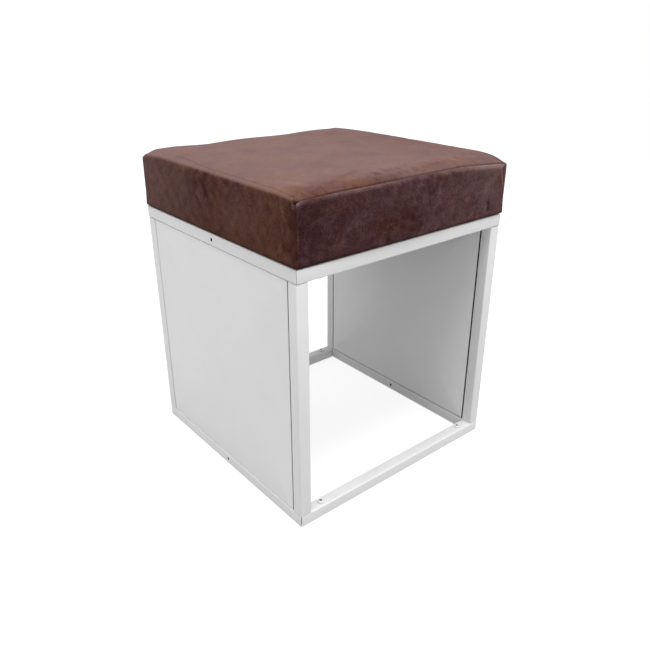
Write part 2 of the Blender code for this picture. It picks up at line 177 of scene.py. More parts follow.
def makeCloudiness():
    # two sizes of noise, the coarse one counting twice, pushed away from the middle by the contrast
    group, given, mask = newGroup("cloudiness", {"Size": 20.0, "Contrast": 1.0}, "Mask")
    coarse = noiseOf(group, given["Vector"], given["Size"], 2.0, 0.5, 0.4)
    fine = noiseOf(group, given["Vector"], times(group, given["Size"], 4.3), 3.0, 0.55)
    both = plus(group, times(group, coarse, 0.667), times(group, fine, 0.333))
    pushed = times(group, minus(group, both, 0.5), given["Contrast"])
    feed(group, mask, rangeOf(group, plus(group, pushed, 0.5), 0.0, 1.0))
    return group


def makeOrangePeel():
    # the rolling skin of sprayed paint: rounded cells of about the given size with finer grit between them
    group, given, height = newGroup("orangePeel", {"Size": 600.0}, "Height")
    rolling = noiseOf(group, given["Vector"], given["Size"], 1.0, 0.4)
    grit = noiseOf(group, given["Vector"], times(group, given["Size"], 5.0), 2.0, 0.5)
    feed(group, height, plus(group, rolling, times(group, grit, 0.25)))
    return group


def makeSettledDust():
    # dust lies on faces that look up, thicker where a coarse noise is high
    group, given, mask = newGroup("settledDust", {"Amount": 0.5}, "Mask")
    normal = nodeOf(group, "NewGeometry").outputs["Normal"]
    upward = rangeOf(group, upOf(group, normal), 0.5, 0.95)
    patches = rangeOf(group, noiseOf(group, given["Vector"], 55.0, 5.0, 0.65), 0.35, 0.75)
    feed(group, mask, times(group, upward, patches, given["Amount"]))
    return group


def makeHairScratches():
    # thin lines: a noise drawn out along a slanted direction, kept only where it crosses its middle value,
    # and broken up by a coarse noise
    group, given, mask = newGroup("hairScratches", {"Amount": 0.5}, "Mask")
    drawn = stretchOf(group, given["Vector"], (40.0, 40.0, 900.0), (0.5, 0.9, 0.3))
    lines = mathOf(group, "ABSOLUTE", minus(group, noiseOf(group, drawn, 1.0, 2.0), 0.5))
    thin = rangeOf(group, lines, 0.0, 0.012, 1.0, 0.0)
    stretches = rangeOf(group, noiseOf(group, given["Vector"], 23.0, 3.0), 0.56, 0.68)
    feed(group, mask, times(group, thin, stretches, given["Amount"]))
    return group


cloudiness = makeCloudiness()
orangePeel = makeOrangePeel()
settledDust = makeSettledDust()
hairScratches = makeHairScratches()


# Finishes

def cloudsOf(tree, places, settings):
    size, contrast = settings["cloudSize"], settings["contrast"]
    return placeGroup(tree, cloudiness, Vector=places, Size=size, Contrast=contrast)


def makeWhiteCoat(name, settings):
    # sprayed or pressed white: a cloudy white, dust on top, hair scratches, and a rolling skin in the bump;
    # an edge colour of painted shade comes in where the mesh has it painted on: panel edges in their gaps,
    # screw feet and sockets
    material, tree, shader, places = newFinish(name)
    clouds = cloudsOf(tree, places, settings)
    white = blendOf(tree, clouds, settings["shade"], settings["white"])
    if "edge" in settings:
        white = blendOf(tree, attributeOf(tree, "edge"), white, settings["edge"])
    dust = placeGroup(tree, settledDust, Vector=places, Amount=settings["dust"])
    dusty = blendOf(tree, dust, white, settings["dustColour"])
    scratches = placeGroup(tree, hairScratches, Vector=places, Amount=settings["scratches"])
    scratched = blendOf(tree, scratches, dusty, settings["scratchColour"])
    rough = plus(tree, settings["roughness"], times(tree, clouds, settings["cloudRoughness"]))
    rough = plus(tree, rough, times(tree, dust, settings["dustRoughness"]))
    skin = placeGroup(tree, orangePeel, Vector=places, Size=settings["peelSize"])
    marked = minus(tree, skin, times(tree, scratches, settings["scratchDepth"]))
    dress(tree, shader, scratched, rough, marked, settings["peel"], settings["peelDepth"])
    return material


powderCoat = {
    "white": grey(0.83), "shade": grey(0.79), "cloudSize": 14.0, "contrast": 1.6, "cloudRoughness": 0.08,
    "dust": 0.16, "dustColour": (0.62, 0.60, 0.57, 1.0), "dustRoughness": 0.3,
    "scratches": 0.35, "scratchColour": (0.66, 0.66, 0.67, 1.0), "scratchDepth": 1.5,
    "roughness": 0.36, "peelSize": 650.0, "peel": 0.5, "peelDepth": 0.04 * mm,
}
# the laminate's edge colour is painted shade, for the shade in the gaps round the panels
laminate = dict(powderCoat, white=grey(0.885), shade=grey(0.855), cloudSize=9.0, roughness=0.42,
                peelSize=1500.0, peel=0.32, scratches=0.5, edge=(0.05, 0.047, 0.045, 1.0))
# the screws' edge colour is painted shade, round the foot of each head and in its socket
screwCoat = dict(powderCoat, white=grey(0.80), shade=grey(0.74), cloudSize=160.0, roughness=0.32,
                 peelSize=1800.0, edge=(0.08, 0.078, 0.076, 1.0))

whitePaint = makeWhiteCoat("whitePaint", powderCoat)
whiteBoard = makeWhiteCoat("whiteBoard", laminate)
whiteScrew = makeWhiteCoat("whiteScrew", screwCoat)


def makeBareMetal(name, settings):
    # metal with a cloudy tone, hair scratches that are brighter, and a rough skin
    material, tree, shader, places = newFinish(name)
    clouds = cloudsOf(tree, places, settings)
    scratches = placeGroup(tree, hairScratches, Vector=places, Amount=settings["scratches"])
    tone = blendOf(tree, clouds, settings["dark"], settings["light"])
    scratched = blendOf(tree, scratches, tone, settings["scratchColour"])
    rough = rangeOf(tree, clouds, 0.0, 1.0, settings["smooth"], settings["rough"])
    shader["Metallic"].default_value = 1.0
    skin = placeGroup(tree, orangePeel, Vector=places, Size=settings["grainSize"])
    dress(tree, shader, scratched, rough, skin, settings["grain"], settings["grainDepth"])
    return material


castAluminium = {
    "dark": (0.34, 0.34, 0.35, 1.0), "light": (0.50, 0.50, 0.51, 1.0), "cloudSize": 120.0, "contrast": 2.0,
    "scratches": 0.6, "scratchColour": (0.62, 0.62, 0.63, 1.0), "smooth": 0.45, "rough": 0.65,
    "grainSize": 2400.0, "grain": 0.9, "grainDepth": 0.05 * mm,
}
zincPlate = dict(castAluminium, dark=(0.50, 0.51, 0.53, 1.0), light=(0.66, 0.66, 0.65, 1.0), cloudSize=260.0,
                 scratchColour=grey(0.75), smooth=0.25, rough=0.42, grainSize=3200.0, grain=0.35)
blackOxide = dict(castAluminium, dark=(0.012, 0.012, 0.013, 1.0), light=(0.03, 0.03, 0.032, 1.0),
                  cloudSize=500.0, scratchColour=grey(0.09), smooth=0.38, rough=0.55, grainSize=4200.0,
                  grain=0.4)

castMetal = makeBareMetal("castMetal", castAluminium)
platedSteel = makeBareMetal("platedSteel", zincPlate)
blackSteel = makeBareMetal("blackSteel", blackOxide)

birch = {
    "ply": 3.0 * mm, "grain": (1.0, 4.0, 0.6, 0.6),             # noise: size, detail, roughness, distortion
    "alongX": (9.0, 260.0, 260.0), "alongY": (260.0, 9.0, 260.0),
    "light": (0.62, 0.46, 0.29, 1.0), "turned": (0.50, 0.34, 0.20, 1.0), "dark": (0.40, 0.26, 0.14, 1.0),
    "bump": 0.4, "depth": 0.2 * mm,
}


def makePlywood(settings):
    # birch plies: bands along Z that turn the grain from X to Y, over a drawn-out noise
    material, tree, shader, places = newFinish("plywood")
    band = mathOf(tree, "FRACT", times(tree, upOf(tree, places), 1.0 / settings["ply"]))
    turned = rangeOf(tree, band, 0.46, 0.54)
    along, across = (noiseOf(tree, stretchOf(tree, places, settings[way]), *settings["grain"])
                     for way in ("alongX", "alongY"))
    grain = plus(tree, times(tree, along, minus(tree, 1.0, turned)), times(tree, across, turned))
    light = blendOf(tree, turned, settings["light"], settings["turned"])
    colour = blendOf(tree, rangeOf(tree, grain, 0.3, 0.7), light, settings["dark"])
    rough = rangeOf(tree, grain, 0.2, 0.8, 0.6, 0.8)
    dress(tree, shader, colour, rough, grain, settings["bump"], settings["depth"])
    return material


plywood = makePlywood(birch)

pressedFibre = {
    "fibre": (1.0, 3.0, 0.6, 0.8),                              # noise: size, detail, roughness, distortion
    "ways": (((2600.0, 240.0, 600.0), (0.0, 0.0, 0.5)), ((240.0, 2600.0, 600.0), (0.0, 0.0, 0.3))),
    "dots": 620.0, "dotSpread": 0.12, "cloudSize": 26.0, "contrast": 1.8, "cloudShare": 0.4,
    "deep": (0.008, 0.008, 0.009, 1.0), "light": (0.038, 0.038, 0.040, 1.0),
    "cloud": (0.028, 0.027, 0.027, 1.0), "bump": 0.6, "depth": 0.15 * mm,
}


def makeBlackCloth(settings):
    # pressed fibre cloth: two drawn-out noises crossed for the fibres, and a close grid of pressed dots
    material, tree, shader, places = newFinish("blackCloth")
    crossed = [noiseOf(tree, stretchOf(tree, places, *way), *settings["fibre"]) for way in settings["ways"]]
    fibres = mathOf(tree, "MAXIMUM", *crossed)
    dots = nodeOf(tree, "TexVoronoi", Vector=places, Scale=settings["dots"], Randomness=settings["dotSpread"])
    pressed = rangeOf(tree, dots.outputs["Distance"], 0.18, 0.34)
    clouds = cloudsOf(tree, places, settings)
    between = plus(tree, 0.4, times(tree, pressed, 0.6))
    weave = times(tree, rangeOf(tree, fibres, 0.35, 0.75), between)
    tone = blendOf(tree, weave, settings["deep"], settings["light"])
    colour = blendOf(tree, times(tree, clouds, settings["cloudShare"]), tone, settings["cloud"])
    rough = rangeOf(tree, weave, 0.0, 1.0, 0.75, 0.95)
    height = plus(tree, times(tree, fibres, 0.6), pressed)
    dress(tree, shader, colour, rough, height, settings["bump"], settings["depth"])
    return material


blackCloth = makeBlackCloth(pressedFibre)

velvet = {
    "deep": (0.032, 0.0085, 0.0098, 1.0),       # pile seen end on
    "middle": (0.088, 0.0425, 0.0475, 1.0),     # pile brushed sideways
    # bright also stands for painted light from above and sheen on the top
    "bright": (0.231, 0.156, 0.151, 1.0),       # pile laid over, seen from above
    "golden": (1.07, 0.865, 0.52, 1.0),         # tint of the pile that leans to the front
    # painted shade: the colour that seams, the crease, the pit and the fold go over into
    "seamShade": (0.010, 0.004, 0.0042, 1.0),      # depth of a seam
    "pale": (0.965, 1.02, 1.01, 1.0), "rosy": (1.04, 0.975, 0.985, 1.0),      # ends of the blush
    # noises: size, detail, roughness, distortion
    "smoke": (36.0, 6.0, 0.6, 2.2), "brush": (1.0, 4.0, 0.6, 1.4), "fibre": (720.0, 3.0, 0.7),
    "blush": (32.0, 5.0, 0.52, 0.8), "turning": (20.0, 6.0, 0.62, 0.9),
    "brushWay": ((32.0, 70.0, 58.0), (0.1, 0.2, 0.15)), "fibreWay": ((0.7, 1.0, 0.6),),
    "smokeShare": 0.20, "brushShare": 0.15, "fibreShare": 0.39, "tintShare": 1.2,
    # strengths where the pile stands, at the first nap, and where it is laid over, at the second
    "naps": (0.35, 0.6), "shifting": (1.65, 0.84), "blushing": (1.0, 0.6), "gilding": (1.7, 1.0),
    "specular": 0.08, "sheen": 0.04, "sheenRoughness": 0.35, "sheenTint": (0.95, 0.72, 0.70, 1.0),
    "brushBump": 0.8, "bump": 0.35, "depth": 0.4 * mm,
}


def makeVelvet(settings):
    # how far the pile is laid over (the nap), with painted light added to it, is painted on the cloth: the
    # top is painted lighter than the sides, partly for the pile and partly as light from above and sheen, and
    # lips and folds carry painted highlights; smoky patches, brush marks and single fibres shift it, and the
    # shifted nap picks the colour from deep through middle to bright; a blush takes that colour from pale to
    # rosy, the painted warmth and a slow noise turn it golden, and the painted shade hides it in the seams,
    # the crease, the pit and towards the fold; shifts, blush and slow noise are stronger where the pile
    # stands
    material, tree, shader, places = newFinish("velvet")
    napAndLight = attributeOf(tree, "napAndLight")
    shifting, blushing, gilding = (rangeOf(tree, napAndLight, *settings["naps"], *settings[name])
                                   for name in ("shifting", "blushing", "gilding"))
    smoke = noiseOf(tree, places, *settings["smoke"])
    brush = noiseOf(tree, stretchOf(tree, places, *settings["brushWay"]), *settings["brush"])
    fibres = noiseOf(tree, stretchOf(tree, places, *settings["fibreWay"]), *settings["fibre"])
    shift = times(tree, minus(tree, smoke, 0.5), settings["smokeShare"])
    for source, share in ((brush, "brushShare"), (fibres, "fibreShare")):
        shift = plus(tree, shift, times(tree, minus(tree, source, 0.5), settings[share]))
    laid = plus(tree, napAndLight, times(tree, shift, shifting))
    low = blendOf(tree, rangeOf(tree, laid, 0.0, 0.5), settings["deep"], settings["middle"])
    plain = blendOf(tree, rangeOf(tree, laid, 0.25, 1.0), low, settings["bright"])
    blush = rangeOf(tree, noiseOf(tree, places, *settings["blush"]), 0.3, 0.7)
    calm = plus(tree, times(tree, minus(tree, blush, 0.5), blushing), 0.5)
    hue = blendOf(tree, calm, settings["pale"], settings["rosy"])
    tone = blendOf(tree, 1.0, plain, hue, "MULTIPLY")
    gold = blendOf(tree, 1.0, tone, settings["golden"], "MULTIPLY")
    turning = minus(tree, noiseOf(tree, places, *settings["turning"]), 0.5)
    warm = plus(tree, attributeOf(tree, "warm"), times(tree, turning, gilding, settings["tintShare"]))
    # how much painted shade covers the cloth
    inShade = minus(tree, 1.0, attributeOf(tree, "shade"))
    colour = blendOf(tree, inShade, blendOf(tree, warm, tone, gold), settings["seamShade"])
    shader["Specular IOR Level"].default_value = settings["specular"]
    shader["Sheen Weight"].default_value = settings["sheen"]
    shader["Sheen Roughness"].default_value = settings["sheenRoughness"]
    shader["Sheen Tint"].default_value = settings["sheenTint"]
    height = plus(tree, fibres, times(tree, brush, settings["brushBump"]))
    rough = rangeOf(tree, laid, 0.0, 1.0, 0.95, 0.8)
    dress(tree, shader, colour, rough, height, settings["bump"], settings["depth"])
    return material


velvetPile = makeVelvet(velvet)
print("finishes made")


# Mesh helpers

def meshFromArrays(name, points, faces):
    # points is an array of places, faces a list of arrays with three or four point numbers in each row
    mesh = bpy.data.meshes.new(name)
    corners = np.concatenate([rows.ravel() for rows in faces]).astype(np.int32)
    sizes = np.concatenate([np.full(len(rows), rows.shape[1]) for rows in faces])
    starts = np.concatenate([[0], np.cumsum(sizes)[:-1]]).astype(np.int32)
    mesh.vertices.add(len(points))
    mesh.vertices.foreach_set("co", np.asarray(points, dtype=np.float32).ravel())
    mesh.loops.add(len(corners))
    mesh.loops.foreach_set("vertex_index", corners)
    mesh.polygons.add(len(sizes))
    mesh.polygons.foreach_set("loop_start", starts)
    mesh.update(calc_edges=True)
    return mesh


def gridFaces(numbers, flip=False):
    # four-sided faces between the neighbours of a grid of point numbers
    corners = (numbers[:-1, :-1], numbers[1:, :-1], numbers[1:, 1:], numbers[:-1, 1:])
    rows = np.stack(corners, axis=-1).reshape(-1, 4)
    return rows[:, ::-1] if flip else rows


def paintPoints(mesh, name, values):
    # one number on each point of a mesh, for its finish to read
    layer = mesh.attributes.new(name, "FLOAT", "POINT")
    layer.data.foreach_set("value", np.asarray(values, dtype=np.float32))


def newObject(name, data):
    item = bpy.data.objects.new(name, data)
    scene.collection.objects.link(item)
    return item


def addPiece(name, mesh, material, slotName, *nodes, smooth=35):
    piece = newObject(name, mesh)
    mesh.materials.append(material)
    mesh.shade_smooth()
    mesh.set_sharp_from_angle(angle=math.radians(smooth))
    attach(piece, "root")
    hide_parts(*nodes)
    return piece


def boxOf(name):
    # lowest corner, highest corner and middle of a node's box
    low, high = (np.array(corner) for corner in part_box(name))
    return low, high, (low + high) / 2


def roundedSquare(half, radius, steps):
    # a square with round corners, anticlockwise, as an array of (across, up)
    quarter = np.linspace(0.0, np.pi / 2, steps + 1)
    turns = np.arange(4) * np.pi / 2
    angles = (turns[:, None] + quarter[None, :]).ravel()
    diagonals = turns + np.pi / 4
    middles = (half - radius) * np.sign(np.stack([np.cos(diagonals), np.sin(diagonals)], -1))
    return np.repeat(middles, steps + 1, axis=0) + radius * np.stack([np.cos(angles), np.sin(angles)], -1)


# Square tubes

tube = {
    "half": 10.0 * mm, "radius": 2.0 * mm, "boreHalf": 8.5 * mm, "boreRadius": 0.6 * mm,
    "arcSteps": 8, "endSteps": 4,
    "endRound": {"bottom": 0.35 * mm, "top": 0.06 * mm, "post": 0.35 * mm},
    "seams": {"bottom": 0.9 * mm, "top": 0.02 * mm},         # the top ring is ground flush
    # along, across and up in the object's frame
    "turns": {"front": [[1, 0, 0], [0, 1, 0], [0, 0, 1]], "back": [[-1, 0, 0], [0, -1, 0], [0, 0, 1]],
              "left": [[0, -1, 0], [1, 0, 0], [0, 0, 1]], "right": [[0, 1, 0], [-1, 0, 0], [0, 0, 1]],
              "post": [[0, 0, 1], [1, 0, 0], [0, 1, 0]]},
}
setScrew = {"radius": 2.8 * mm, "edge": 0.35 * mm, "flats": 2.6 * mm, "socketDepth": 2.0 * mm, "around": 36,
            "holeRadius": 3.0 * mm, "holeDepth": 6.0 * mm, "holeSides": 40}


def tubeSurface(length, mitred, seam, endRound):
    # a rounded square carried along a straight path: rings run from the bore's start, out round the first
    # end's rounded edge, along the outside, round the other end and back through the bore; a mitred end steps
    # back by the depth below the outer face (across = -half), which makes the 45 degree cut
    turn = np.linspace(0.0, np.pi / 2, tube["endSteps"])
    shrink = endRound * (1 - np.sin(turn))
    back = np.concatenate([[0.0], endRound * (1 - np.cos(turn))])
    outside = roundedSquare(tube["half"], tube["radius"], tube["arcSteps"])
    bore = roundedSquare(tube["boreHalf"], tube["boreRadius"], tube["arcSteps"])
    scales = 1 - shrink[:, None, None] / tube["half"]
    sections = np.concatenate([bore[None], outside[None] * scales])
    cutBack = sections[:, :, 0] + tube["half"] + seam / math.sqrt(2)
    stop = length / 2 - back[:, None] - cutBack * mitred
    start = np.concatenate([-stop[:, :, None], sections], axis=2)
    finish = np.concatenate([stop[:, :, None], sections], axis=2)[::-1]
    return np.concatenate([start, finish])


def tubeMesh(name, rings, turn, middle):
    count, around = rings.shape[:2]
    numbers = np.arange(count * around).reshape(count, around)
    wrapped = np.concatenate([numbers, numbers[:1]])
    wrapped = np.concatenate([wrapped, wrapped[:, :1]], axis=1)
    points = rings.reshape(-1, 3) @ np.array(turn) + middle
    return meshFromArrays(name, points, [gridFaces(wrapped, flip=True)])


def cutHole(mesh, centre):
    # the round hole of a set screw, into a face that looks to -X
    bpy.ops.mesh.primitive_cylinder_add(
        vertices=setScrew["holeSides"], radius=setScrew["holeRadius"], depth=2 * setScrew["holeDepth"],
        location=centre, rotation=(0.0, math.pi / 2, 0.0))
    drill = bpy.context.object
    body = newObject("drilled", mesh)
    boolean = body.modifiers.new("hole", "BOOLEAN")
    boolean.operation = "DIFFERENCE"
    boolean.object = drill
    bpy.context.view_layer.update()
    drilled = bpy.data.meshes.new_from_object(body.evaluated_get(bpy.context.evaluated_depsgraph_get()))
    drilled.name = mesh.name
    bpy.data.objects.remove(body)
    bpy.data.objects.remove(drill)
    return drilled


def addTubes():
    # each tube takes its place and length from its node's box
    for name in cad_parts:
        if not name.endswith(("_rail", "_post")):
            continue
        low, high, middle = boxOf(name)
        if name.endswith("_post"):
            rings = tubeSurface(high[2] - low[2], False, 0.0, tube["endRound"]["post"])
            mesh = tubeMesh(name + "_tube", rings, tube["turns"]["post"], middle)
        else:
            level, side = name.split("_")[:2]
            rings = tubeSurface(max(high[:2] - low[:2]), True, tube["seams"][level], tube["endRound"][level])
            mesh = tubeMesh(name + "_tube", rings, tube["turns"][side], middle)
            if side in ("left", "right"):
                mesh = cutHole(mesh, (low[0], middle[1], middle[2]))
        addPiece(name + "_tube", mesh, whitePaint, "white_paint", name)


addTubes()
print("tubes made")


# Side panels

# the last numbers say how many rings of each rounded border, beyond the flat sawn band, are painted shade too
panel = {"edge": 0.8 * mm, "edgeSteps": 5, "corner": 0.8 * mm, "cornerSteps": 6, "frontGap": 0.9 * mm,
         "lowGap": {"left": 0.0, "right": 1.1 * mm}, "shadeRings": {"left": 0, "right": 3}}


def plateSurface(size):
    # a flat plate of (thickness, depth, height): a rectangle with round corners carried through the
    # thickness, drawn in along a quarter circle at both faces and closed by a point in the middle of each
    # face
    thick, deep, high = size
    turn = np.linspace(0.0, np.pi / 2, panel["edgeSteps"] + 1)
    drawnIn = panel["edge"] * (1 - np.sin(turn))
    level = panel["edge"] * (1 - np.cos(turn))
    inset = np.concatenate([drawnIn, drawnIn[::-1]])
    across = np.concatenate([-thick / 2 + level, thick / 2 - level[::-1]])
    outline = roundedSquare(0.5, 0.5 * panel["corner"] / max(deep, high), panel["cornerSteps"])
    rings = outline[None] * (np.array([deep, high]) - 2 * inset[:, None])[:, None, :]
    return np.concatenate([np.broadcast_to(across[:, None, None], rings.shape[:2] + (1,)), rings], axis=2)


def closedTube(name, rings, flip=False):
    # a stack of rings with both ends closed to a middle point
    count, around = rings.shape[:2]
    numbers = np.arange(count * around).reshape(count, around)
    wrapped = np.concatenate([numbers, numbers[:, :1]], axis=1)
    points = np.concatenate([rings.reshape(-1, 3), rings[:1].mean(axis=1), rings[-1:].mean(axis=1)])
    first = np.full(around, count * around)
    faces = [gridFaces(wrapped, flip=True),
             np.stack([first, wrapped[0, 1:], wrapped[0, :-1]], -1),
             np.stack([first + 1, wrapped[-1, :-1], wrapped[-1, 1:]], -1)]
    if flip:
        faces = [rows[:, ::-1] for rows in faces]
    return meshFromArrays(name, points, faces)


def addPanels():
    # each panel keeps a little clear of its box in front and below; its sawn edge, between the rounded
    # borders, is painted dark as the shade in its gap, and on the right panel this painted shade reaches
    # three rings onto the rounded borders
    for hand in ("left", "right"):
        low, high = boxOf(hand + "_panel")[:2]
        low[1] += panel["frontGap"]
        low[2] += panel["lowGap"][hand]
        rings = plateSurface(high - low) + (low + high) / 2
        mesh = closedTube(hand + "_side_panel", rings)
        around = rings.shape[1]
        # painted shade on the panel's edge rings
        first = panel["edgeSteps"] - panel["shadeRings"][hand]
        dark = np.zeros(len(mesh.vertices))
        dark[first * around:(len(rings) - first) * around] = 1.0
        paintPoints(mesh, "edge", dark)
        addPiece(hand + "_side_panel", mesh, whiteBoard, "white_board", hand + "_panel")


addPanels()
print("panels made")


# Screws

buttonScrew = {
    "headRadius": 5.25 * mm, "headHeight": 3.3 * mm, "rim": 0.6 * mm, "rimRound": 0.2 * mm,
    "domeSteps": 14, "domePower": 2.2, "shank": 3.0 * mm, "tip": 0.7 * mm, "around": 48,
    "flats": 4.0 * mm, "socketDepth": 2.0 * mm, "socketCorner": 1.16, "socketMargin": 0.25 * mm,
    # the first two numbers paint shade round the foot of the head, fading up the dome; the socket rings are
    # painted shade
    "footShade": 0.5, "footShadeReach": 1.5 * mm, "footRing": 3, "socketRings": 3,      # at the foot and in the socket
}
hexSocket = {"lip": 0.12 * mm, "lipRound": (0.03 * mm, -0.04 * mm), "floorInset": 0.9 * mm,
             "floorDrop": 0.35 * mm}


def hexRadius(flats, angles):
    # distance from the middle of a hexagon to its side at each angle
    return flats / 2 / np.cos((angles + np.pi / 6) % (np.pi / 3) - np.pi / 6)


def screwRings(settings, profile, socketTop):
    # round rings of (radius, height), then a hexagon socket that goes down from the rim of the head
    angles = np.arange(settings["around"]) / settings["around"] * 2 * np.pi
    hexagon = hexRadius(settings["flats"], angles)
    lathe = np.repeat(np.array(profile)[:, :, None], len(angles), axis=2)
    depth = settings["socketDepth"]
    lip = hexSocket["lip"]
    steps = np.array([(lip, 0.0), hexSocket["lipRound"], (0.0, -lip), (0.0, -depth),
                      (-hexSocket["floorInset"], -depth - hexSocket["floorDrop"])])
    radii = np.concatenate([lathe[:, 0], hexagon + steps[:, :1]])
    heights = np.concatenate([lathe[:, 1], np.repeat(socketTop + steps[:, 1:], len(angles), axis=1)])
    return np.stack([radii * np.cos(angles), radii * np.sin(angles), heights], axis=-1)


def buttonRings(length):
    # tip, shank, flat under the head, rounded rim, and a dome to the edge of the socket
    screw = buttonScrew
    dome = np.linspace(0.0, 1.0, screw["domeSteps"])
    socketEdge = screw["flats"] / 2 * screw["socketCorner"] + screw["socketMargin"]
    radius = screw["headRadius"] - (screw["headRadius"] - socketEdge) * dome
    top = screw["headHeight"]
    height = screw["rim"] + (top - screw["rim"]) * np.sqrt(1 - (1 - dome) ** screw["domePower"])
    profile = [(screw["shank"] - screw["tip"], -length), (screw["shank"], screw["tip"] - length),
               (screw["shank"], 0.0), (screw["headRadius"] - screw["rimRound"], 0.0),
               (screw["headRadius"], screw["rimRound"])]
    profile += list(zip(radius, height))
    return screwRings(screw, profile, top)


def addButtonScrew(name, low, high, middle):
    # heads of the bottom ring's screws look up, the others look down
    length = high[2] - low[2] - buttonScrew["headHeight"]
    rings = buttonRings(length)
    if name.startswith("bottom_"):
        rings = rings + (middle[0], middle[1], low[2] + length)
    else:
        rings = rings * (1, -1, -1) + (middle[0], middle[1], high[2] - length)
    mesh = closedTube(name + "_head", rings, flip=True)
    # painted shade round the foot of the head, fading up the dome over its reach, and full painted shade in
    # the socket
    depth = abs(rings[:, :, 2] - rings[buttonScrew["footRing"], 0, 2]).ravel()
    dark = buttonScrew["footShade"] * np.clip(1 - depth / buttonScrew["footShadeReach"], 0, 1)
    dark[-buttonScrew["socketRings"] * rings.shape[1]:] = 1.0
    paintPoints(mesh, "edge", np.concatenate([dark, [0.0, 1.0]]))
    addPiece(name + "_head", mesh, whiteScrew, "white_screw", name)


def addSetScrew(name, low, high, middle):
    # a short cylinder with rounded ends, its socket looking to -X
    length = high[0] - low[0]
    edge = setScrew["edge"]
    radius = setScrew["radius"]
    profile = [(radius - edge, -length), (radius, edge - length), (radius, -edge), (radius - edge, 0.0)]
    rings = screwRings(setScrew, profile, 0.0)
    rings = rings[:, :, ::-1] * (-1, 1, 1) + (low[0], middle[1], middle[2])
    mesh = closedTube(name + "_socket", rings, flip=True)
    addPiece(name + "_socket", mesh, blackSteel, "black_steel", name)


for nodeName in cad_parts:
    if nodeName.endswith(("_key_screw", "_seat_screw")):
        addButtonScrew(nodeName, *boxOf(nodeName))
    elif nodeName.endswith("_set_screw"):
        addSetScrew(nodeName, *boxOf(nodeName))
print("screws made")


# Dust cover

dustCover = {"cells": 96, "sag": 3.2 * mm, "ripple": 0.5 * mm, "thickness": 0.5 * mm, "staples": 9,
             "free": 0.97, "freeFade": 0.1, "rippleReach": 0.12}      # these as shares of the half width


def addDustCover():
    # a stretched square: it sags as the product of two parabolas, and small ripples run in from the fixing
    # points along the edges and die out towards the middle
    low, high, middle = boxOf("dust_cover")
    steps = np.linspace(-1.0, 1.0, dustCover["cells"] + 1)
    u, v = np.meshgrid(steps, steps, indexing="ij")
    half = (high - low) / 2
    free = dustCover["free"]
    drop = dustCover["sag"] * np.clip((1 - (u / free) ** 2) * (1 - (v / free) ** 2), 0, None)
    inside = np.clip((free - np.maximum(abs(u), abs(v))) / dustCover["freeFade"], 0, 1)
    waves = 0 * u
    for far, along in ((u, v), (v, u)):
        fading = np.exp(-(1 - abs(far)) / dustCover["rippleReach"])
        waves = waves + fading * np.cos(np.pi * dustCover["staples"] * along)
    ripples = dustCover["ripple"] * inside * waves
    z = low[2] + dustCover["thickness"] / 2 - drop - ripples * 0.5 - 0.5 * dustCover["ripple"] * inside
    points = np.stack([middle[0] + half[0] * u, middle[1] + half[1] * v, z], axis=-1).reshape(-1, 3)
    numbers = np.arange(len(points)).reshape(u.shape)
    piece = addPiece("under_seat_cloth", meshFromArrays("under_seat_cloth", points, [gridFaces(numbers)]),
                     blackCloth, "black_cloth", "dust_cover", smooth=60)
    wall = piece.modifiers.new("thickness", "SOLIDIFY")
    wall.thickness = dustCover["thickness"]
    wall.offset = 0


addDustCover()
print("dust cover made")


# Seat cushion

seat = {
    "columns": 261, "rows": 171, "sideRows": 60,      # fine grid: across the top, front to back, up a side
    "simColumns": 73, "simRows": 73, "simSideRows": 16,      # grid that the cloth solver moves
    "crowding": (0.66, 0.6, 0.8),      # of the steps up a side, across the top, front to back
    "half": 211.1 * mm, "sideSwell": 0.5 * mm,
    "plateau": 515.2 * mm, "leftDrop": 2.6 * mm, "rightDrop": 1.2 * mm, "edgeReach": 40.0 * mm,
    "risePower": 2.5,
    "frontReach": 46.0 * mm, "cornerReach": 66.0 * mm, "cornerSpan": (90 * mm, 200 * mm),
    "backReach": 90.0 * mm, "backCornerReach": 130.0 * mm, "backCornerSpan": (125 * mm, 205 * mm),
    "rollLeft": (4.0, 5.0, 8.5), "rollRight": (3.0, 7.0, 2.5),  # radius at the front, middle and back, in mm
    "pressure": 0.14, "tension": 60.0, "quality": 8, "frames": 20, "cutSmall": 0.6 * mm, "seamTension": 0.004,
    "moveCap": 4.0 * mm, "calmPasses": 36,
    "hemWidth": 26.0 * mm, "foldRadius": 1.8 * mm, "foldSteps": 5, "boardClear": 0.3 * mm,
}
# heights, places and widths of the seams in mm
frontSeam = {"level": 510.6, "leftFall": 1.1, "leftSpan": (110, 205), "rightFall": 8.4, "slopeStart": 102,
             "slopeLength": 108, "slopePower": 1.1}
backSeam = {"level": 508.2, "leftRise": 4.4, "leftSpan": (80, 160), "cornerFall": 6.6,
            "cornerSpan": (184, 211), "rightRise": 2.9, "rightSpan": (30, 125),
            "swells": ((2.2, -95, 75), (1.2, -40, 60), (1.4, 25, 95))}
seatLow = boxOf("seat_cover")[0]
boardLow, boardHigh = boxOf("seat_board")[:2]
wallBottom = seatLow[2] + seat["foldRadius"]


def gradedSteps(count, crowding):
    # even steps t from 0 to 1 drawn towards both ends: t - crowding * sin(2 pi t) / (2 pi)
    even = np.linspace(0.0, 1.0, count)
    return even - crowding * np.sin(2 * np.pi * even) / (2 * np.pi)


def smoothStep(value, low, high):
    t = np.clip((value - low) / (high - low), 0.0, 1.0)
    return t * t * (3 - 2 * t)


def between(value, span):
    # a smooth step over a span given in mm
    return smoothStep(value, span[0] * mm, span[1] * mm)


def bell(value, middle, width):
    return np.exp(-((value - middle) / width) ** 2)


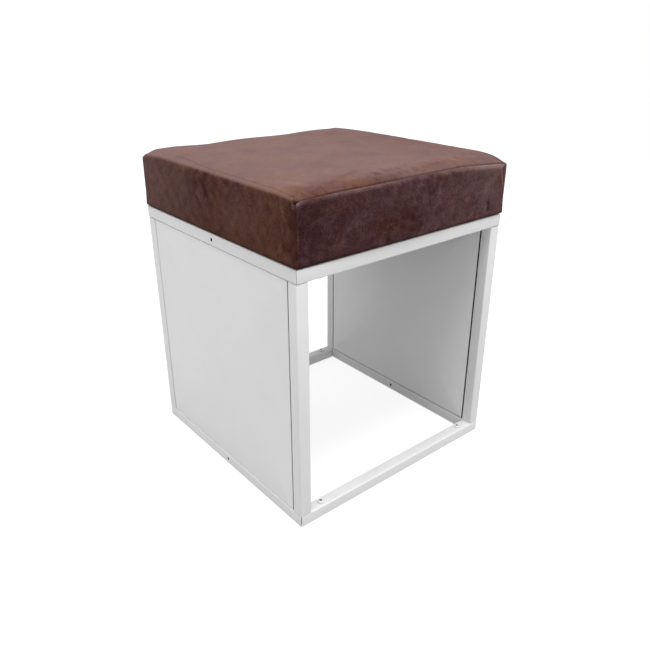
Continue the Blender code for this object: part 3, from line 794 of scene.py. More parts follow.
def frontSeamHeight(x):
    # level in the middle, a little lower at the left end, and let down in a straight slope to the right end
    slope = np.clip((x / mm - frontSeam["slopeStart"]) / frontSeam["slopeLength"], 0, 1)
    slope = slope ** frontSeam["slopePower"]
    left = frontSeam["leftFall"] * between(-x, frontSeam["leftSpan"])
    return (frontSeam["level"] - left - frontSeam["rightFall"] * slope) * mm


def backSeamHeight(x):
    # level with three low swells, fuller towards the left end, where the very corner falls again, and raised
    # in one sweep to the right end
    full = backSeam["leftRise"] * between(-x, backSeam["leftSpan"])
    full = full - backSeam["cornerFall"] * between(-x, backSeam["cornerSpan"])
    for height, middle, width in backSeam["swells"]:
        full = full + height * bell(x, middle * mm, width * mm)
    return (backSeam["level"] + full + backSeam["rightRise"] * between(x, backSeam["rightSpan"])) * mm


def fallAt(x, fromSeam, reachName, cornerName, spanName):
    # 1 at a seam, falling to 0 over a reach that grows towards the right corner: (1 - d / reach) ^ 2.5
    reach = seat[reachName] + (seat[cornerName] - seat[reachName]) * smoothStep(x, *seat[spanName])
    return np.clip(1 - fromSeam / reach, 0, 1) ** seat["risePower"]


def topHeight(x, y):
    # a plateau that falls a little towards the left and right edges, and down to the seams at the front and
    # the back
    half = seat["half"]
    drop = np.where(x < 0, seat["leftDrop"], seat["rightDrop"])
    inner = seat["plateau"] - drop * (1 - smoothStep(half - abs(x), 0.0, seat["edgeReach"]))
    front = fallAt(x, y + half, "frontReach", "cornerReach", "cornerSpan")
    back = fallAt(x, half - y, "backReach", "backCornerReach", "backCornerSpan")
    return inner - front * (inner - frontSeamHeight(x)) - back * (inner - backSeamHeight(x))


def rollRadius(name, along):
    # the middle's radius nearly up to the ends, then the end's: end + (middle - end) * (1 - along ^ 6)
    front, middle, back = seat[name]
    ends = np.where(along < 0, front, back)
    return (ends + (middle - ends) * (1 - abs(along) ** 6)) * mm


def stripSurface(sideSteps, topSteps, rowSteps):
    # the cover's long strip: up the left side, over the top and down the right side, for each row from front
    # to back; each edge is an arc whose middle parts the side from the top; all of it is cut a little small
    along = 2 * rowSteps - 1
    half = seat["half"]
    small = seat["cutSmall"]
    y = along * half
    radii = {-1: rollRadius("rollLeft", along), 1: rollRadius("rollRight", along)}
    parts = {}
    for side, radius in radii.items():
        edgeTop = topHeight(side * (half - radius), y) - small
        straight = edgeTop - radius - wallBottom
        reach = sideSteps[:, None] * (straight + radius * np.pi / 4)
        angle = np.clip((reach - straight) / radius, 0, None)
        z = wallBottom + np.minimum(reach, straight) + radius * np.sin(angle)
        level = (z - wallBottom) / (edgeTop - wallBottom)
        wide = half - small * smoothStep(level, 0.0, 0.3)
        x = wide - radius * (1 - np.cos(angle)) + seat["sideSwell"] * (1 - along ** 2) * np.sin(np.pi * level)
        parts[side] = np.stack([side * x, along * wide, z], axis=-1)
    arcs = {side: radius * np.pi / 4 for side, radius in radii.items()}
    flat = 2 * (half - small) - radii[-1] - radii[1]
    reach = topSteps[:, None] * (flat + arcs[-1] + arcs[1]) - arcs[-1]
    turnLeft = np.clip(-reach, 0, None) / radii[-1]
    turnRight = np.clip(reach - flat, 0, None) / radii[1]
    x = np.clip(reach, 0, flat) - half + small + radii[-1]
    z = topHeight(x, y) - small - radii[-1] * (1 - np.cos(turnLeft)) - radii[1] * (1 - np.cos(turnRight))
    x = x - radii[-1] * np.sin(turnLeft) + radii[1] * np.sin(turnRight)
    top = np.stack([x, np.broadcast_to(along * (half - small), x.shape), z], axis=-1)
    return np.concatenate([parts[-1], top[1:-1], parts[1][::-1]])


def blendEdges(edge, sideSteps, topSteps):
    # fills an end panel from its edges, three along the strip and the straight fold below: the blend of the
    # left and right edges plus the blend of the lower and upper ones less the blend of the four corners
    count = len(sideSteps)
    left = edge[:count]
    right = edge[::-1][:count]
    top = edge[count - 1:len(edge) - count + 1]
    a = topSteps[None, :, None]
    b = sideSteps[:, None, None]
    bottom = left[0] + (right[0] - left[0]) * topSteps[:, None]
    sides = (1 - a) * left[:, None] + a * right[:, None]
    ends = (1 - b) * bottom[None] + b * top[None]
    corners = (1 - a) * (1 - b) * left[0] + a * (1 - b) * right[0]
    corners = corners + (1 - a) * b * left[-1] + a * b * right[-1]
    return sides + ends - corners


def coverSteps(*counts):
    return tuple(gradedSteps(count, crowding) for count, crowding in zip(counts, seat["crowding"]))


def coverNumbers(sideCount, topCount, rowCount):
    # point numbers of the strip and of the two end panels, which share the strip's edge points
    stripCount = 2 * sideCount + topCount - 2
    strip = np.arange(stripCount * rowCount).reshape(stripCount, rowCount)
    following = stripCount * rowCount
    panels = []
    for row in (0, -1):
        numbers = np.zeros((sideCount, topCount), dtype=int)
        numbers[:, 0] = strip[:sideCount, row]
        numbers[:, -1] = strip[::-1][:sideCount, row]
        numbers[-1] = strip[sideCount - 1:stripCount - sideCount + 1, row]
        inner = (sideCount - 1) * (topCount - 2)
        numbers[:-1, 1:-1] = following + np.arange(inner).reshape(sideCount - 1, topCount - 2)
        following += inner
        panels.append(numbers)
    return strip, panels[0], panels[1]


def coverValues(strip, front, back):
    # values on the three grids put in the order of the point numbers
    depth = strip.shape[2:]
    return np.concatenate([grid.reshape(-1, *depth) for grid in (strip, front[:-1, 1:-1], back[:-1, 1:-1])])


def coverFaces(strip, front, back):
    return [gridFaces(strip), gridFaces(front, flip=True), gridFaces(back)]


def swellCover():
    # the cover, cut a little small, is blown up by the cloth solver with its fold held and its seams drawn
    # tight; gives back how far each point of the coarse strip and panels moved, capped and calmed
    counts = (seat["simSideRows"], seat["simColumns"], seat["simRows"])
    numbers = coverNumbers(*counts)
    steps = coverSteps(*counts)
    surface = stripSurface(*steps)
    panels = [blendEdges(surface[:, row], *steps[:2]) for row in (0, -1)]
    points = coverValues(surface, *panels)
    cut = newObject("coverCut", meshFromArrays("coverCut", points, coverFaces(*numbers)))
    strip, front, back = numbers
    groups = {"held": (strip[0], strip[-1], front[0], back[0]), "seams": (strip[:, 0], strip[:, -1])}
    for group, edges in groups.items():
        cut.vertex_groups.new(name=group).add(np.unique(np.concatenate(edges)).tolist(), 1.0, "REPLACE")
    settings = cut.modifiers.new("swelling", "CLOTH").settings
    settings.quality = seat["quality"]
    settings.tension_stiffness = seat["tension"]
    settings.compression_stiffness = seat["tension"]
    settings.shear_stiffness = seat["tension"] / 3
    settings.use_pressure = True
    settings.uniform_pressure_force = seat["pressure"]
    settings.vertex_group_mass = "held"
    settings.vertex_group_shrink = "seams"
    settings.shrink_max = seat["seamTension"]
    settings.effector_weights.gravity = 0
    for step in range(1, seat["frames"] + 1):
        scene.frame_set(step)
    blown = cut.evaluated_get(bpy.context.evaluated_depsgraph_get()).data
    places = np.empty(len(points) * 3, dtype=np.float32)
    blown.vertices.foreach_get("co", places)
    bpy.data.objects.remove(cut)
    scene.frame_set(1)
    moves = places.reshape(-1, 3) - points
    length = np.linalg.norm(moves, axis=1, keepdims=True)
    print("cover blown up: moves up to", round(float(length.max()) / mm, 2), "mm, middle",
          round(float(np.median(length)) / mm, 2), "mm")
    moves = moves * np.minimum(1.0, seat["moveCap"] / np.maximum(length, 1e-9))
    return [calmed(moves[rows]) for rows in numbers]


def calmed(moves):
    # each pass along both ways of a grid takes a quarter of each neighbour and half of the point itself
    for calmPass in range(seat["calmPasses"]):
        for axis in (0, 1):
            rows = np.moveaxis(moves, axis, 0)
            padded = np.concatenate([rows[:1], rows, rows[-1:]])
            moves = np.moveaxis((padded[:-2] + 2 * rows + padded[2:]) / 4, 0, axis)
    return moves


def resampled(values, count, axis):
    # smooth curve through evenly numbered samples (Catmull-Rom), read at count places
    values = np.moveaxis(values, axis, 0)
    places = np.linspace(0, len(values) - 1, count)
    start = np.clip(places.astype(int), 0, len(values) - 2)
    t = (places - start).reshape(-1, *([1] * (values.ndim - 1)))
    before = values[np.maximum(start - 1, 0)]
    here = values[start]
    following = values[start + 1]
    after = values[np.minimum(start + 2, len(values) - 1)]
    cubic = 3 * (here - following) + after - before
    square = 2 * before - 5 * here + 4 * following - after
    curve = here + 0.5 * t * (following - before + t * (square + t * cubic))
    return np.moveaxis(curve, 0, axis)


def swollenCover(steps):
    # the fine strip moved as the coarse one was, and how far each end panel stands out from the blend of its
    # edges
    sideSteps, topSteps = steps[:2]
    counts = tuple(len(part) for part in steps)
    strip = stripSurface(*steps)
    swell = seat["sideSwell"] * (1 - (2 * topSteps[None, :] - 1) ** 4) * np.sin(np.pi * sideSteps[:, None])
    bulges = [np.stack([0 * swell, outward * swell, 0 * swell], axis=-1) for outward in (-1, 1)]
    stripMoves, frontMoves, backMoves = swellCover()
    leftEnd = seat["simSideRows"]
    rightStart = leftEnd + seat["simColumns"] - 1
    up = resampled(stripMoves[:leftEnd], counts[0], 0)
    over = resampled(stripMoves[leftEnd - 1:rightStart], counts[1], 0)
    down = resampled(stripMoves[rightStart - 1:], counts[0], 0)
    moves = resampled(np.concatenate([up, over[1:-1], down]), counts[2], 1)
    for bulge, panelMoves, row in zip(bulges, (frontMoves, backMoves), (0, -1)):
        fine = resampled(resampled(panelMoves, counts[0], 0), counts[1], 1)
        bulge += fine - blendEdges(moves[:, row], sideSteps, topSteps)
    return strip + moves, bulges


# Sewing: what the needle and the hand do to the swollen cover

sewing = {
    "inset": 2.6 * mm, "turn": 2.4 * mm, "zone": 13.0 * mm,      # how the strip turns the upright corners
    "setBack": 3.4 * mm, "setBackRight": 1.6 * mm, "setBackReach": 30 * mm, "lipRoll": 5.5 * mm,
    "sink": 1.3 * mm, "sinkWidth": 1.5 * mm, "sinkWave": 0.12, "recess": 0.5 * mm, "recessWidth": 1.2 * mm,
    "pucker": 0.07 * mm, "puckerStart": 2 * mm, "puckerReach": 9.0 * mm,
    "puckerWaves": (8.5 * mm, 14 * mm, 23 * mm),
    "lipRise": 0.75, "lipPlace": 0.9 * mm, "lipWidth": 0.8 * mm,
    "creaseDepth": 0.7 * mm, "creaseWidth": 1.7 * mm, "creaseRidge": 0.5 * mm, "ridgeOut": 3.0 * mm,
    "ridgeWidth": 2.4 * mm, "creaseDrift": 1.4 * mm, "driftWaves": (90 * mm, 41 * mm, 23 * mm),
    "pitDepth": 4.6 * mm, "pitIn": 1.6 * mm, "pitSpan": (2.6, 6.4), "cornerDip": 3.2 * mm,
    "dart": 9.0 * mm, "dartTop": 9.0 * mm, "dartEnd": 38.0 * mm, "dartRidge": 0.9 * mm,
    "slack": 0.55 * mm, "slackWaves": (28 * mm, 75 * mm), "slackSpan": (1, 14),
    "leanLeft": 0.2, "leanRight": 1.0,      # in mm, like the spans
}


def ripple(places, waves, seed):
    # a sum of sines of unlike lengths with random starts, between -1 and 1
    starts = np.random.default_rng(seed).uniform(0, 2 * np.pi, len(waves))
    return np.mean([np.sin(2 * np.pi * places / wave + start) for wave, start in zip(waves, starts)], axis=0)


def mottle(points, shortest, longest, seed, waves=30):
    # plane waves of random direction, start and length between two limits, summed to about -1 to 1
    random = np.random.default_rng(seed)
    directions = random.normal(size=(waves, 3))
    directions /= np.linalg.norm(directions, axis=1, keepdims=True)
    lengths = np.exp(random.uniform(math.log(shortest), math.log(longest), waves))
    starts = random.uniform(0, 2 * np.pi, waves)
    turns = points.reshape(-1, 3) @ (2 * np.pi * directions / lengths[:, None]).T + starts
    return (np.cos(turns).sum(axis=1) / math.sqrt(waves)).reshape(points.shape[:-1])


def gridNormals(surface):
    across = np.cross(np.gradient(surface, axis=0), np.gradient(surface, axis=1))
    return across / np.maximum(np.linalg.norm(across, axis=-1, keepdims=True), 1e-12)


def seamLength(edge):
    steps = np.linalg.norm(np.diff(edge, axis=0), axis=1)
    return np.concatenate([[0.0], np.cumsum(steps)])


def dartInset(fromTop):
    # extra turn of the strip at the front right corner: quickly up to the dart's widest place, then straight
    # down
    rise = smoothStep(fromTop, 0.0, sewing["dartTop"])
    fall = np.clip((sewing["dartEnd"] - fromTop) / (sewing["dartEnd"] - sewing["dartTop"]), 0, 1)
    return sewing["dart"] * rise * fall


def setBackOf(x, outward):
    extra = sewing["setBackRight"] * between(x, (60, 190)) if outward < 0 else 0
    return sewing["setBack"] + extra


def puckers(wave, fromSeam):
    # waves that start a little off a seam and die out
    start = 1 - bell(fromSeam, 0, sewing["puckerStart"])
    return sewing["pucker"] * wave * np.exp(-fromSeam / sewing["puckerReach"]) * start


def turnEnd(strip, normals, outward):
    # at an end of the strip its sides turn the upright corner: straight on the end's face for inset - turn,
    # round a quarter circle, then along the side; its top stops short by the set-back and dips to the needle
    # line
    row = 0 if outward < 0 else -1
    edge = strip[:, row:row + 1 or None]
    outOfEdge = normals[:, row] * (1, 0, 1)
    outOfEdge = outOfEdge / np.linalg.norm(outOfEdge, axis=-1, keepdims=True)
    onTop = smoothStep(outOfEdge[:, 2:], 0.25, 0.85)
    inset = sewing["inset"] * (1 - onTop)
    if outward < 0:
        rightSide = edge[:, :, 0] > 150 * mm
        fromTop = frontSeamHeight(205 * mm) - edge[:, :, 2]
        inset = inset + np.where(rightSide, dartInset(fromTop), 0) * (1 - onTop)
    turn = sewing["turn"] * (1 - onTop) + 0.05 * mm          # never quite nothing, since it divides
    inset = np.maximum(inset, turn)
    t = (edge[:, :, 1] - strip[:, :, 1]) * outward
    zone = sewing["zone"]
    ahead = inset - turn
    arc = np.pi / 2 * turn
    s = t * (1 + (ahead + arc - turn) / zone)
    angle = np.clip((s - ahead) / turn, 0, np.pi / 2)
    inward = np.where(s < ahead, inset - s, turn * (1 - np.sin(angle)))
    behind = turn * (1 - np.cos(angle)) + np.clip(s - ahead - arc, 0, None)
    near = t < zone
    moved = strip.copy()
    moved[:, :, 1] = np.where(near, edge[:, :, 1] - outward * behind, strip[:, :, 1])
    moved -= outOfEdge[:, None] * np.where(near, inward, 0)[:, :, None]
    setBack = setBackOf(edge[:, :, 0], outward) * onTop
    moved[:, :, 1] -= outward * setBack * np.clip(1 - t / sewing["setBackReach"], 0, 1) ** 2
    wave = ripple(seamLength(edge[:, 0]), sewing["puckerWaves"], 11 + outward)[:, None]
    sink = sewing["sink"] * onTop * (1 + sewing["sinkWave"] * wave) * bell(t, 0, sewing["sinkWidth"])
    moved += normals * (puckers(wave, t) - sink)[:, :, None]
    moved[:, :, 1] -= outward * sewing["recess"] * (1 - onTop) * bell(t, 0, sewing["recessWidth"])
    return moved, setBack[:, 0], t


def creaseRoll(strip, normals):
    # inside the rolled left edge runs a shallow crease with a low ridge outside it; it lies further in
    # towards the back; the right edge has one that keeps its distance
    x, y = strip[:, :, 0], strip[:, :, 1]
    drift = sewing["creaseDrift"] * ripple(y, sewing["driftWaves"], 13)
    left = (9.5 + 7 * between(y, (20, 90))) * mm
    fromEdge = seat["half"] - abs(x) - (np.where(x < 0, left, 8 * mm) + drift)
    fade = (1 - between(y, (95, 150))) * smoothStep(normals[:, :, 2], 0.3, 0.7)
    crease = bell(fromEdge, 0, sewing["creaseWidth"]) * fade
    ridge = sewing["creaseRidge"] * bell(fromEdge, -sewing["ridgeOut"], sewing["ridgeWidth"]) * fade
    return strip + normals * (ridge - sewing["creaseDepth"] * crease)[:, :, None], crease


def fromCorner(strip):
    # distance from the place on the front seam where the left side goes over into the top
    return np.linalg.norm(strip - strip[seat["sideRows"] - 1, 0], axis=-1)


def dipCorner(strip, normals):
    # where three seams meet at the front left corner the lips dip, and behind them the top drops into a small
    # pit
    away = fromCorner(strip)
    onTop = smoothStep(normals[:, :, 2], 0.35, 0.75)
    pit = (1 - between(away, sewing["pitSpan"])) * onTop
    dip = sewing["cornerDip"] * bell(away, 0, 4.5 * mm) * (1 - onTop)
    moved = strip.copy()
    moved[:, :, 2] -= sewing["pitDepth"] * pit + dip
    moved[:, :, :2] += (sewing["pitIn"] * pit)[:, :, None]
    return moved, pit


def endPanel(strip, setBack, bulge, outward, steps):
    # the panel between the strip's edges, standing out by its bulge; its upper edge rolls back over a quarter
    # of an ellipse to the needle line, and slack shows as low puckers along the seams
    count = len(steps[0])
    edge = strip[:, 0 if outward < 0 else -1].copy()
    edge[:, 1] += outward * setBack
    grid = blendEdges(edge, *steps[:2]) + bulge
    fromTop = grid[-1:, :, 2] - grid[:, :, 2]
    fromLeft = grid[:, :, 0] - grid[:, :1, 0]
    fromRight = grid[:, -1:, 0] - grid[:, :, 0]
    roll = 1 - np.sqrt(1 - np.clip(1 - fromTop / sewing["lipRoll"], 0, 1) ** 2)
    back = setBack[count - 1:len(setBack) - count + 1][None] * roll
    wave = ripple(grid[:, :, 0], sewing["puckerWaves"], 21 + outward)
    slack = sewing["slack"] * mottle(grid * (1, 1, 0.6), *sewing["slackWaves"], 25 + outward)
    fromSeams = np.minimum(np.minimum(fromLeft, fromRight), np.minimum(fromTop, grid[:, :, 2] - wallBottom))
    stand = puckers(wave, fromTop)
    grid[:, :, 1] += outward * (stand + slack * between(fromSeams, sewing["slackSpan"]) - back)
    lip = sewing["sink"] * sewing["lipRise"] * bell(fromTop, sewing["lipPlace"], sewing["lipWidth"])
    grid[:, :, 2] += lip * between(fromTop, (0, 0.3))
    return grid, fromTop, fromLeft, fromRight


def dressFront(front, fromTop, fromLeft, fromRight):
    # the front panel's corner dips with the strip at the left, and a ridge runs along the dart at the right
    dip = sewing["cornerDip"] * bell(fromLeft, 0, 5 * mm) * (1 - between(fromTop, (0, 16)))
    front[:, :, 2] -= dip * between(np.maximum(fromLeft, fromTop), (0, 0.4))
    strength = between(fromTop, (2, 9)) * (1 - between(fromTop, (26, 42)))
    front[:, :, 1] -= sewing["dartRidge"] * bell(fromRight, 1.6 * mm, 1.5 * mm) * strength


def leanCorners(strip):
    # the back left corner is drawn in, more towards the top, and the front right one stands out
    half = seat["half"]
    x, y, z = np.moveaxis(strip, -1, 0)
    left = np.clip((1 - x / half) / 2, 0, 1) ** 3 * np.clip((1 + y / half) / 2, 0, 1) ** 3
    right = np.clip((1 + x / half) / 2, 0, 1) ** 3 * np.clip((1 - y / half) / 2, 0, 1) ** 3
    upper = smoothStep(z, wallBottom, 505 * mm)
    amount = (sewing["leanLeft"] * upper * left + sewing["leanRight"] * right) * mm
    moved = strip.copy()
    moved[:, :, 0] += amount
    moved[:, :, 1] -= amount
    return moved


def addCushion():
    counts = (seat["sideRows"], seat["columns"], seat["rows"])
    steps = coverSteps(*counts)
    numbers = coverNumbers(*counts)
    strip, bulges = swollenCover(steps)
    strip = leanCorners(strip)
    normals = gridNormals(strip)
    strip, crease = creaseRoll(strip, normals)
    strip, frontBack, fromFront = turnEnd(strip, normals, -1)
    strip, backBack, fromBack = turnEnd(strip, normals, 1)
    front, fromTop, fromLeft, fromRight = endPanel(strip, frontBack, bulges[0], -1, steps)
    dressFront(front, fromTop, fromLeft, fromRight)
    back, backFromTop = endPanel(strip, backBack, bulges[1], 1, steps)[:2]
    strip, pit = dipCorner(strip, normals)
    paints = (paintStrip(strip, normals, fromFront, fromBack, crease, pit),
              paintFront(front, fromTop, fromLeft, fromRight), paintBack(back, backFromTop))
    cover = coverValues(strip, front, back)
    stripNumbers, frontNumbers, backNumbers = numbers
    loop = np.concatenate([frontNumbers[0, :-1], stripNumbers[-1, :-1], backNumbers[0, :0:-1],
                           stripNumbers[0, :0:-1]])
    points, faces = closeBelow(cover, coverFaces(*numbers), loop)
    mesh = meshFromArrays("seat_cushion", points, faces)
    # points below the cover's fold get a low nap and painted shade
    for name, below in (("napAndLight", 0.2), ("warm", 0.2), ("shade", 0.35)):
        values = np.full(len(points), below)
        values[:len(cover)] = coverValues(*(paint[name] for paint in paints))
        paintPoints(mesh, name, values)
    piece = addPiece("seat_cushion", mesh, velvetPile, "velvet", "seat_cover", "foam_block", smooth=75)
    print("cushion made with", len(points), "points")


def closeBelow(points, faces, loop):
    # rings go round the fold, in along the hem, up its turned edge, out to the board's side and up to its
    # top, where a point in the middle closes the shape; each is the loop drawn in by an inset
    half = seat["half"]
    fold = seat["foldRadius"]
    turn = np.linspace(0.0, np.pi / 2, seat["foldSteps"])[1:]
    boardGap = half - boardHigh[0] - seat["boardClear"]
    hemTop = boardLow[2] - seat["boardClear"]
    steps = [(fold * (1 - np.cos(angle)), wallBottom - fold * np.sin(angle)) for angle in turn]
    steps += [(seat["hemWidth"], seatLow[2]), (seat["hemWidth"], hemTop), (boardGap, hemTop),
              (boardGap, boardHigh[2] + seat["boardClear"])]
    previous = loop
    total = len(points)
    added = [points]
    for inset, height in steps:
        ring = points[loop] * (1 - inset / half)
        ring[:, 2] = height
        added.append(ring)
        current = total + np.arange(len(loop))
        total += len(loop)
        faces.append(np.stack([current, np.roll(current, -1), np.roll(previous, -1), previous], axis=-1))
        previous = current
    added.append(np.array([[0.0, 0.0, steps[-1][1]]]))
    faces.append(np.stack([np.full(len(loop), total), np.roll(previous, -1), previous], axis=-1))
    return np.concatenate(added), faces


# Nap: how far the pile is laid over, with painted light and highlights added, how golden it looks, and how
# much painted shade hides it in grooves and towards the fold

topMarks = (      # along x, along y, half length, half width, turn, change
    (-40, -200, 50, 11, 4, -0.12), (-92, -170, 22, 6, 12, -0.08), (-172, -160, 26, 5, -62, 0.10),
    (-150, -190, 40, 10, 10, -0.07), (60, -190, 30, 4, 6, -0.06), (-95, -196, 30, 6, 4, -0.03),
    (-184, -188, 16, 16, 0, -0.09), (55, -194, 50, 13, 3, -0.07), (190, -15, 45, 60, 0, -0.05),
)
leftMarks = (      # along y, up z, half length, half width, turn, change
    (4, 500, 13, 11, 60, -0.17), (-25, 494, 20, 8, -35, -0.11), (-62, 488, 20, 8, -25, -0.06),
    (-86, 499, 16, 9, 0, -0.04), (9, 434, 9, 7, 0, -0.09), (-36, 433, 9, 6, 0, -0.10),
    (-187, 448, 5, 7, 30, -0.13), (-131, 437, 9, 4, 40, -0.07), (84, 482, 12, 12, 0, 0.03),
    (150, 470, 40, 20, 0, 0.04), (-70, 462, 34, 20, 0, 0.06), (64, 507, 14, 5, 0, 0.10),
    (-120, 470, 26, 16, 0, 0.03), (32, 490, 18, 12, 0, -0.06), (-84, 490, 20, 14, 0, 0.03),
    (-184, 494, 3.5, 11, -10, 0.10), (-196, 488, 6, 15, 0, -0.08),
)
# the narrow dark mark at x 173 beside a light one at x 164 paints the shade and highlight of a small upright
# crease
frontMarks = (      # along x, up z, half length, half width, turn, change
    (-146, 477, 20, 3.5, 48, 0.10), (-139, 439, 11, 11, 0, 0.11), (-6, 456, 27, 17, 0, -0.03),
    (-8, 436, 22, 9, 0, -0.04), (50, 471, 24, 15, 0, 0.03), (126, 464, 20, 16, 0, 0.03),
    (174, 472, 20, 20, 0, 0.10), (-70, 496, 16, 9, 0, -0.05), (173, 439, 3.2, 11, 0, -0.20),
    (164, 438, 3, 10, 0, 0.07), (54, 497, 22, 9, 0, -0.09), (146, 478, 10, 12, 0, -0.05),
    (-68, 454, 34, 9, 6, -0.04), (-112, 462, 24, 12, 30, 0.07), (-190, 470, 14, 30, 0, -0.06),
    (125, 438, 24, 12, 0, -0.04), (-60, 486, 44, 10, 0, 0.04), (30, 455, 24, 26, 0, -0.03),
)
frontGold = (                                                 # the same, for the golden look
    (-6, 452, 30, 20, 0, 0.3), (-68, 454, 40, 10, 6, 0.3), (-110, 487, 30, 8, 0, 0.2),
)
# the top's lead over the sides is partly painted light from above and sheen; frontRise paints light across
# the front; flapLight, notchLight, cornerLight, dartLight and the lip values are painted highlights; needle
# and the Shade values are painted shade
pile = {
    "rough": (9 * mm, 30 * mm), "roughShare": 0.035,          # wave lengths of the fine mottle and its share
    "wideTop": (40 * mm, 120 * mm), "wideEnd": (35 * mm, 100 * mm),
    "top": 0.622, "topWide": 0.02, "topFall": 0.06, "frontDark": 0.19,
    "frontReach": 17 * mm, "frontBreak": 6 * mm,
    "side": 0.353, "sideRise": 0.095, "tuckDark": 0.13, "flapLight": 0.12, "notchLight": 0.3,
    "warmSide": 0.70, "warmFront": 0.75, "coolBack": 0.58, "coolLow": 0.2, "warmTop": 0.25, "warmSeam": 0.7,
    "warmRoll": 0.2, "warmMarks": 2.0, "warmWide": 0.06,
    "needle": 1.5 * mm, "creaseShade": 0.25, "pitShade": 0.96, "foldShade": 0.6, "lipShade": 0.3,
    "front": 0.212, "frontRise": 0.165, "cornerLight": 0.09, "dartLight": 0.42, "warmEnd": 0.12,
    "lip": 0.39, "lipRight": 0.10, "lipMiddle": 0.26, "lipLeft": 0.2, "lipCorner": 0.32, "lipPower": 1.5,
    "back": 0.30, "backLip": 0.24,
}


def markSum(u, v, marks, rough):
    # soft ellipses added up, their edges broken by a mottle
    total = 0 * u
    for along, across, long, wide, turn, change in marks:
        du, dv = u - along * mm, v - across * mm
        cos, sin = math.cos(math.radians(turn)), math.sin(math.radians(turn))
        size = ((du * cos + dv * sin) / (long * mm)) ** 2 + ((dv * cos - du * sin) / (wide * mm)) ** 2
        total = total + change * np.exp(-size * np.clip(1 + 0.7 * rough, 0.2, 3))
    return total


def foldShade(z):
    # painted shade darkens the cloth towards the fold at the bottom
    return 1 - pile["foldShade"] * bell(z, wallBottom - 1 * mm, 2.6 * mm)


def paintStrip(strip, normals, fromFront, fromBack, crease, pit):
    # laid over on the top, less so by the front seam, and the top painted lighter than the sides, partly for
    # the pile and partly as painted light from above and sheen; standing on the sides, where crushed marks
    # show;
    # painted highlights on the flap at the front right and on the lips round the front left pit; golden on
    # the sides towards the front and below, and in the dark marks of the top; painted shade along the needle
    # lines, in the crease, in the pit and towards the fold
    x, y, z = np.moveaxis(strip, -1, 0)
    up = smoothStep(normals[:, :, 2], 0.3, 0.9)
    rough = mottle(strip, *pile["rough"], 41)
    wide = mottle(strip, *pile["wideTop"], 42)
    marks = markSum(x, y, topMarks, rough)
    front = np.exp(-np.clip(fromFront - pile["frontBreak"] * rough, 0, None) / pile["frontReach"])
    front = front * (1 - between(x, (-110, 0)))
    top = pile["top"] + pile["topWide"] * wide - pile["frontDark"] * front
    top = top - pile["topFall"] * between(x, (0, 200)) + marks
    onRight = between(x, (-50, 50))
    # the flap is the strip's turned side at the front right, given a painted highlight
    flap = onRight * bell(y, -214 * mm, 9 * mm)
    tuck = (1 - onRight) * bell(y, -208 * mm, 8 * mm)
    side = pile["side"] + pile["sideRise"] * between(y, (0, 200)) - pile["tuckDark"] * tuck
    side = side + pile["flapLight"] * flap + pile["roughShare"] * rough
    side = side + markSum(np.where(x < 0, y, 30 * mm - y), z, leftMarks, rough)
    # painted highlight on the lips round the front left pit
    notch = pile["notchLight"] * bell(fromCorner(strip), 3.2 * mm, 1.8 * mm)
    low = 1 - between(z, (430, 500))
    warmSide = pile["warmSide"] + pile["warmFront"] * between(-y, (-20, 180)) * (0.35 + 0.65 * low)
    warmSide = warmSide - (pile["coolBack"] - pile["coolLow"] * low) * between(y, (40, 200))
    warmSide = warmSide * (1 - 0.8 * flap) * (1 - 0.4 * tuck)
    warmTop = pile["warmTop"] + pile["warmSeam"] * front - pile["warmMarks"] * np.minimum(marks, 0)
    warmTop = warmTop + pile["warmRoll"] * bell(x, -200 * mm, 30 * mm) * between(-y, (0, 200))
    # painted shade along the needle lines of the front and back seams, less on the right of the top; the
    # crease, the pit and the fold get painted shade too
    needle = np.maximum(bell(fromFront, 0, pile["needle"]), bell(fromBack, 0, pile["needle"]))
    needle = needle * (0.3 + 0.25 * up) * (1 - 0.25 * between(x, (0, 150)) * up)
    shade = (1 - needle - pile["creaseShade"] * crease) * (1 - pile["pitShade"] * pit) * foldShade(z)
    # the top's value above the sides' is partly the pile's lay and partly painted light from above and sheen
    return {"napAndLight": up * top + (1 - up) * (side + notch), "shade": shade,
            "warm": up * warmTop + (1 - up) * warmSide + pile["warmWide"] * wide}


# painted shade along the seam line at the top of an end panel and towards the fold
def endShade(fromTop, z):
    return (1 - pile["lipShade"] * bell(fromTop, 0, 0.5 * mm)) * foldShade(z)


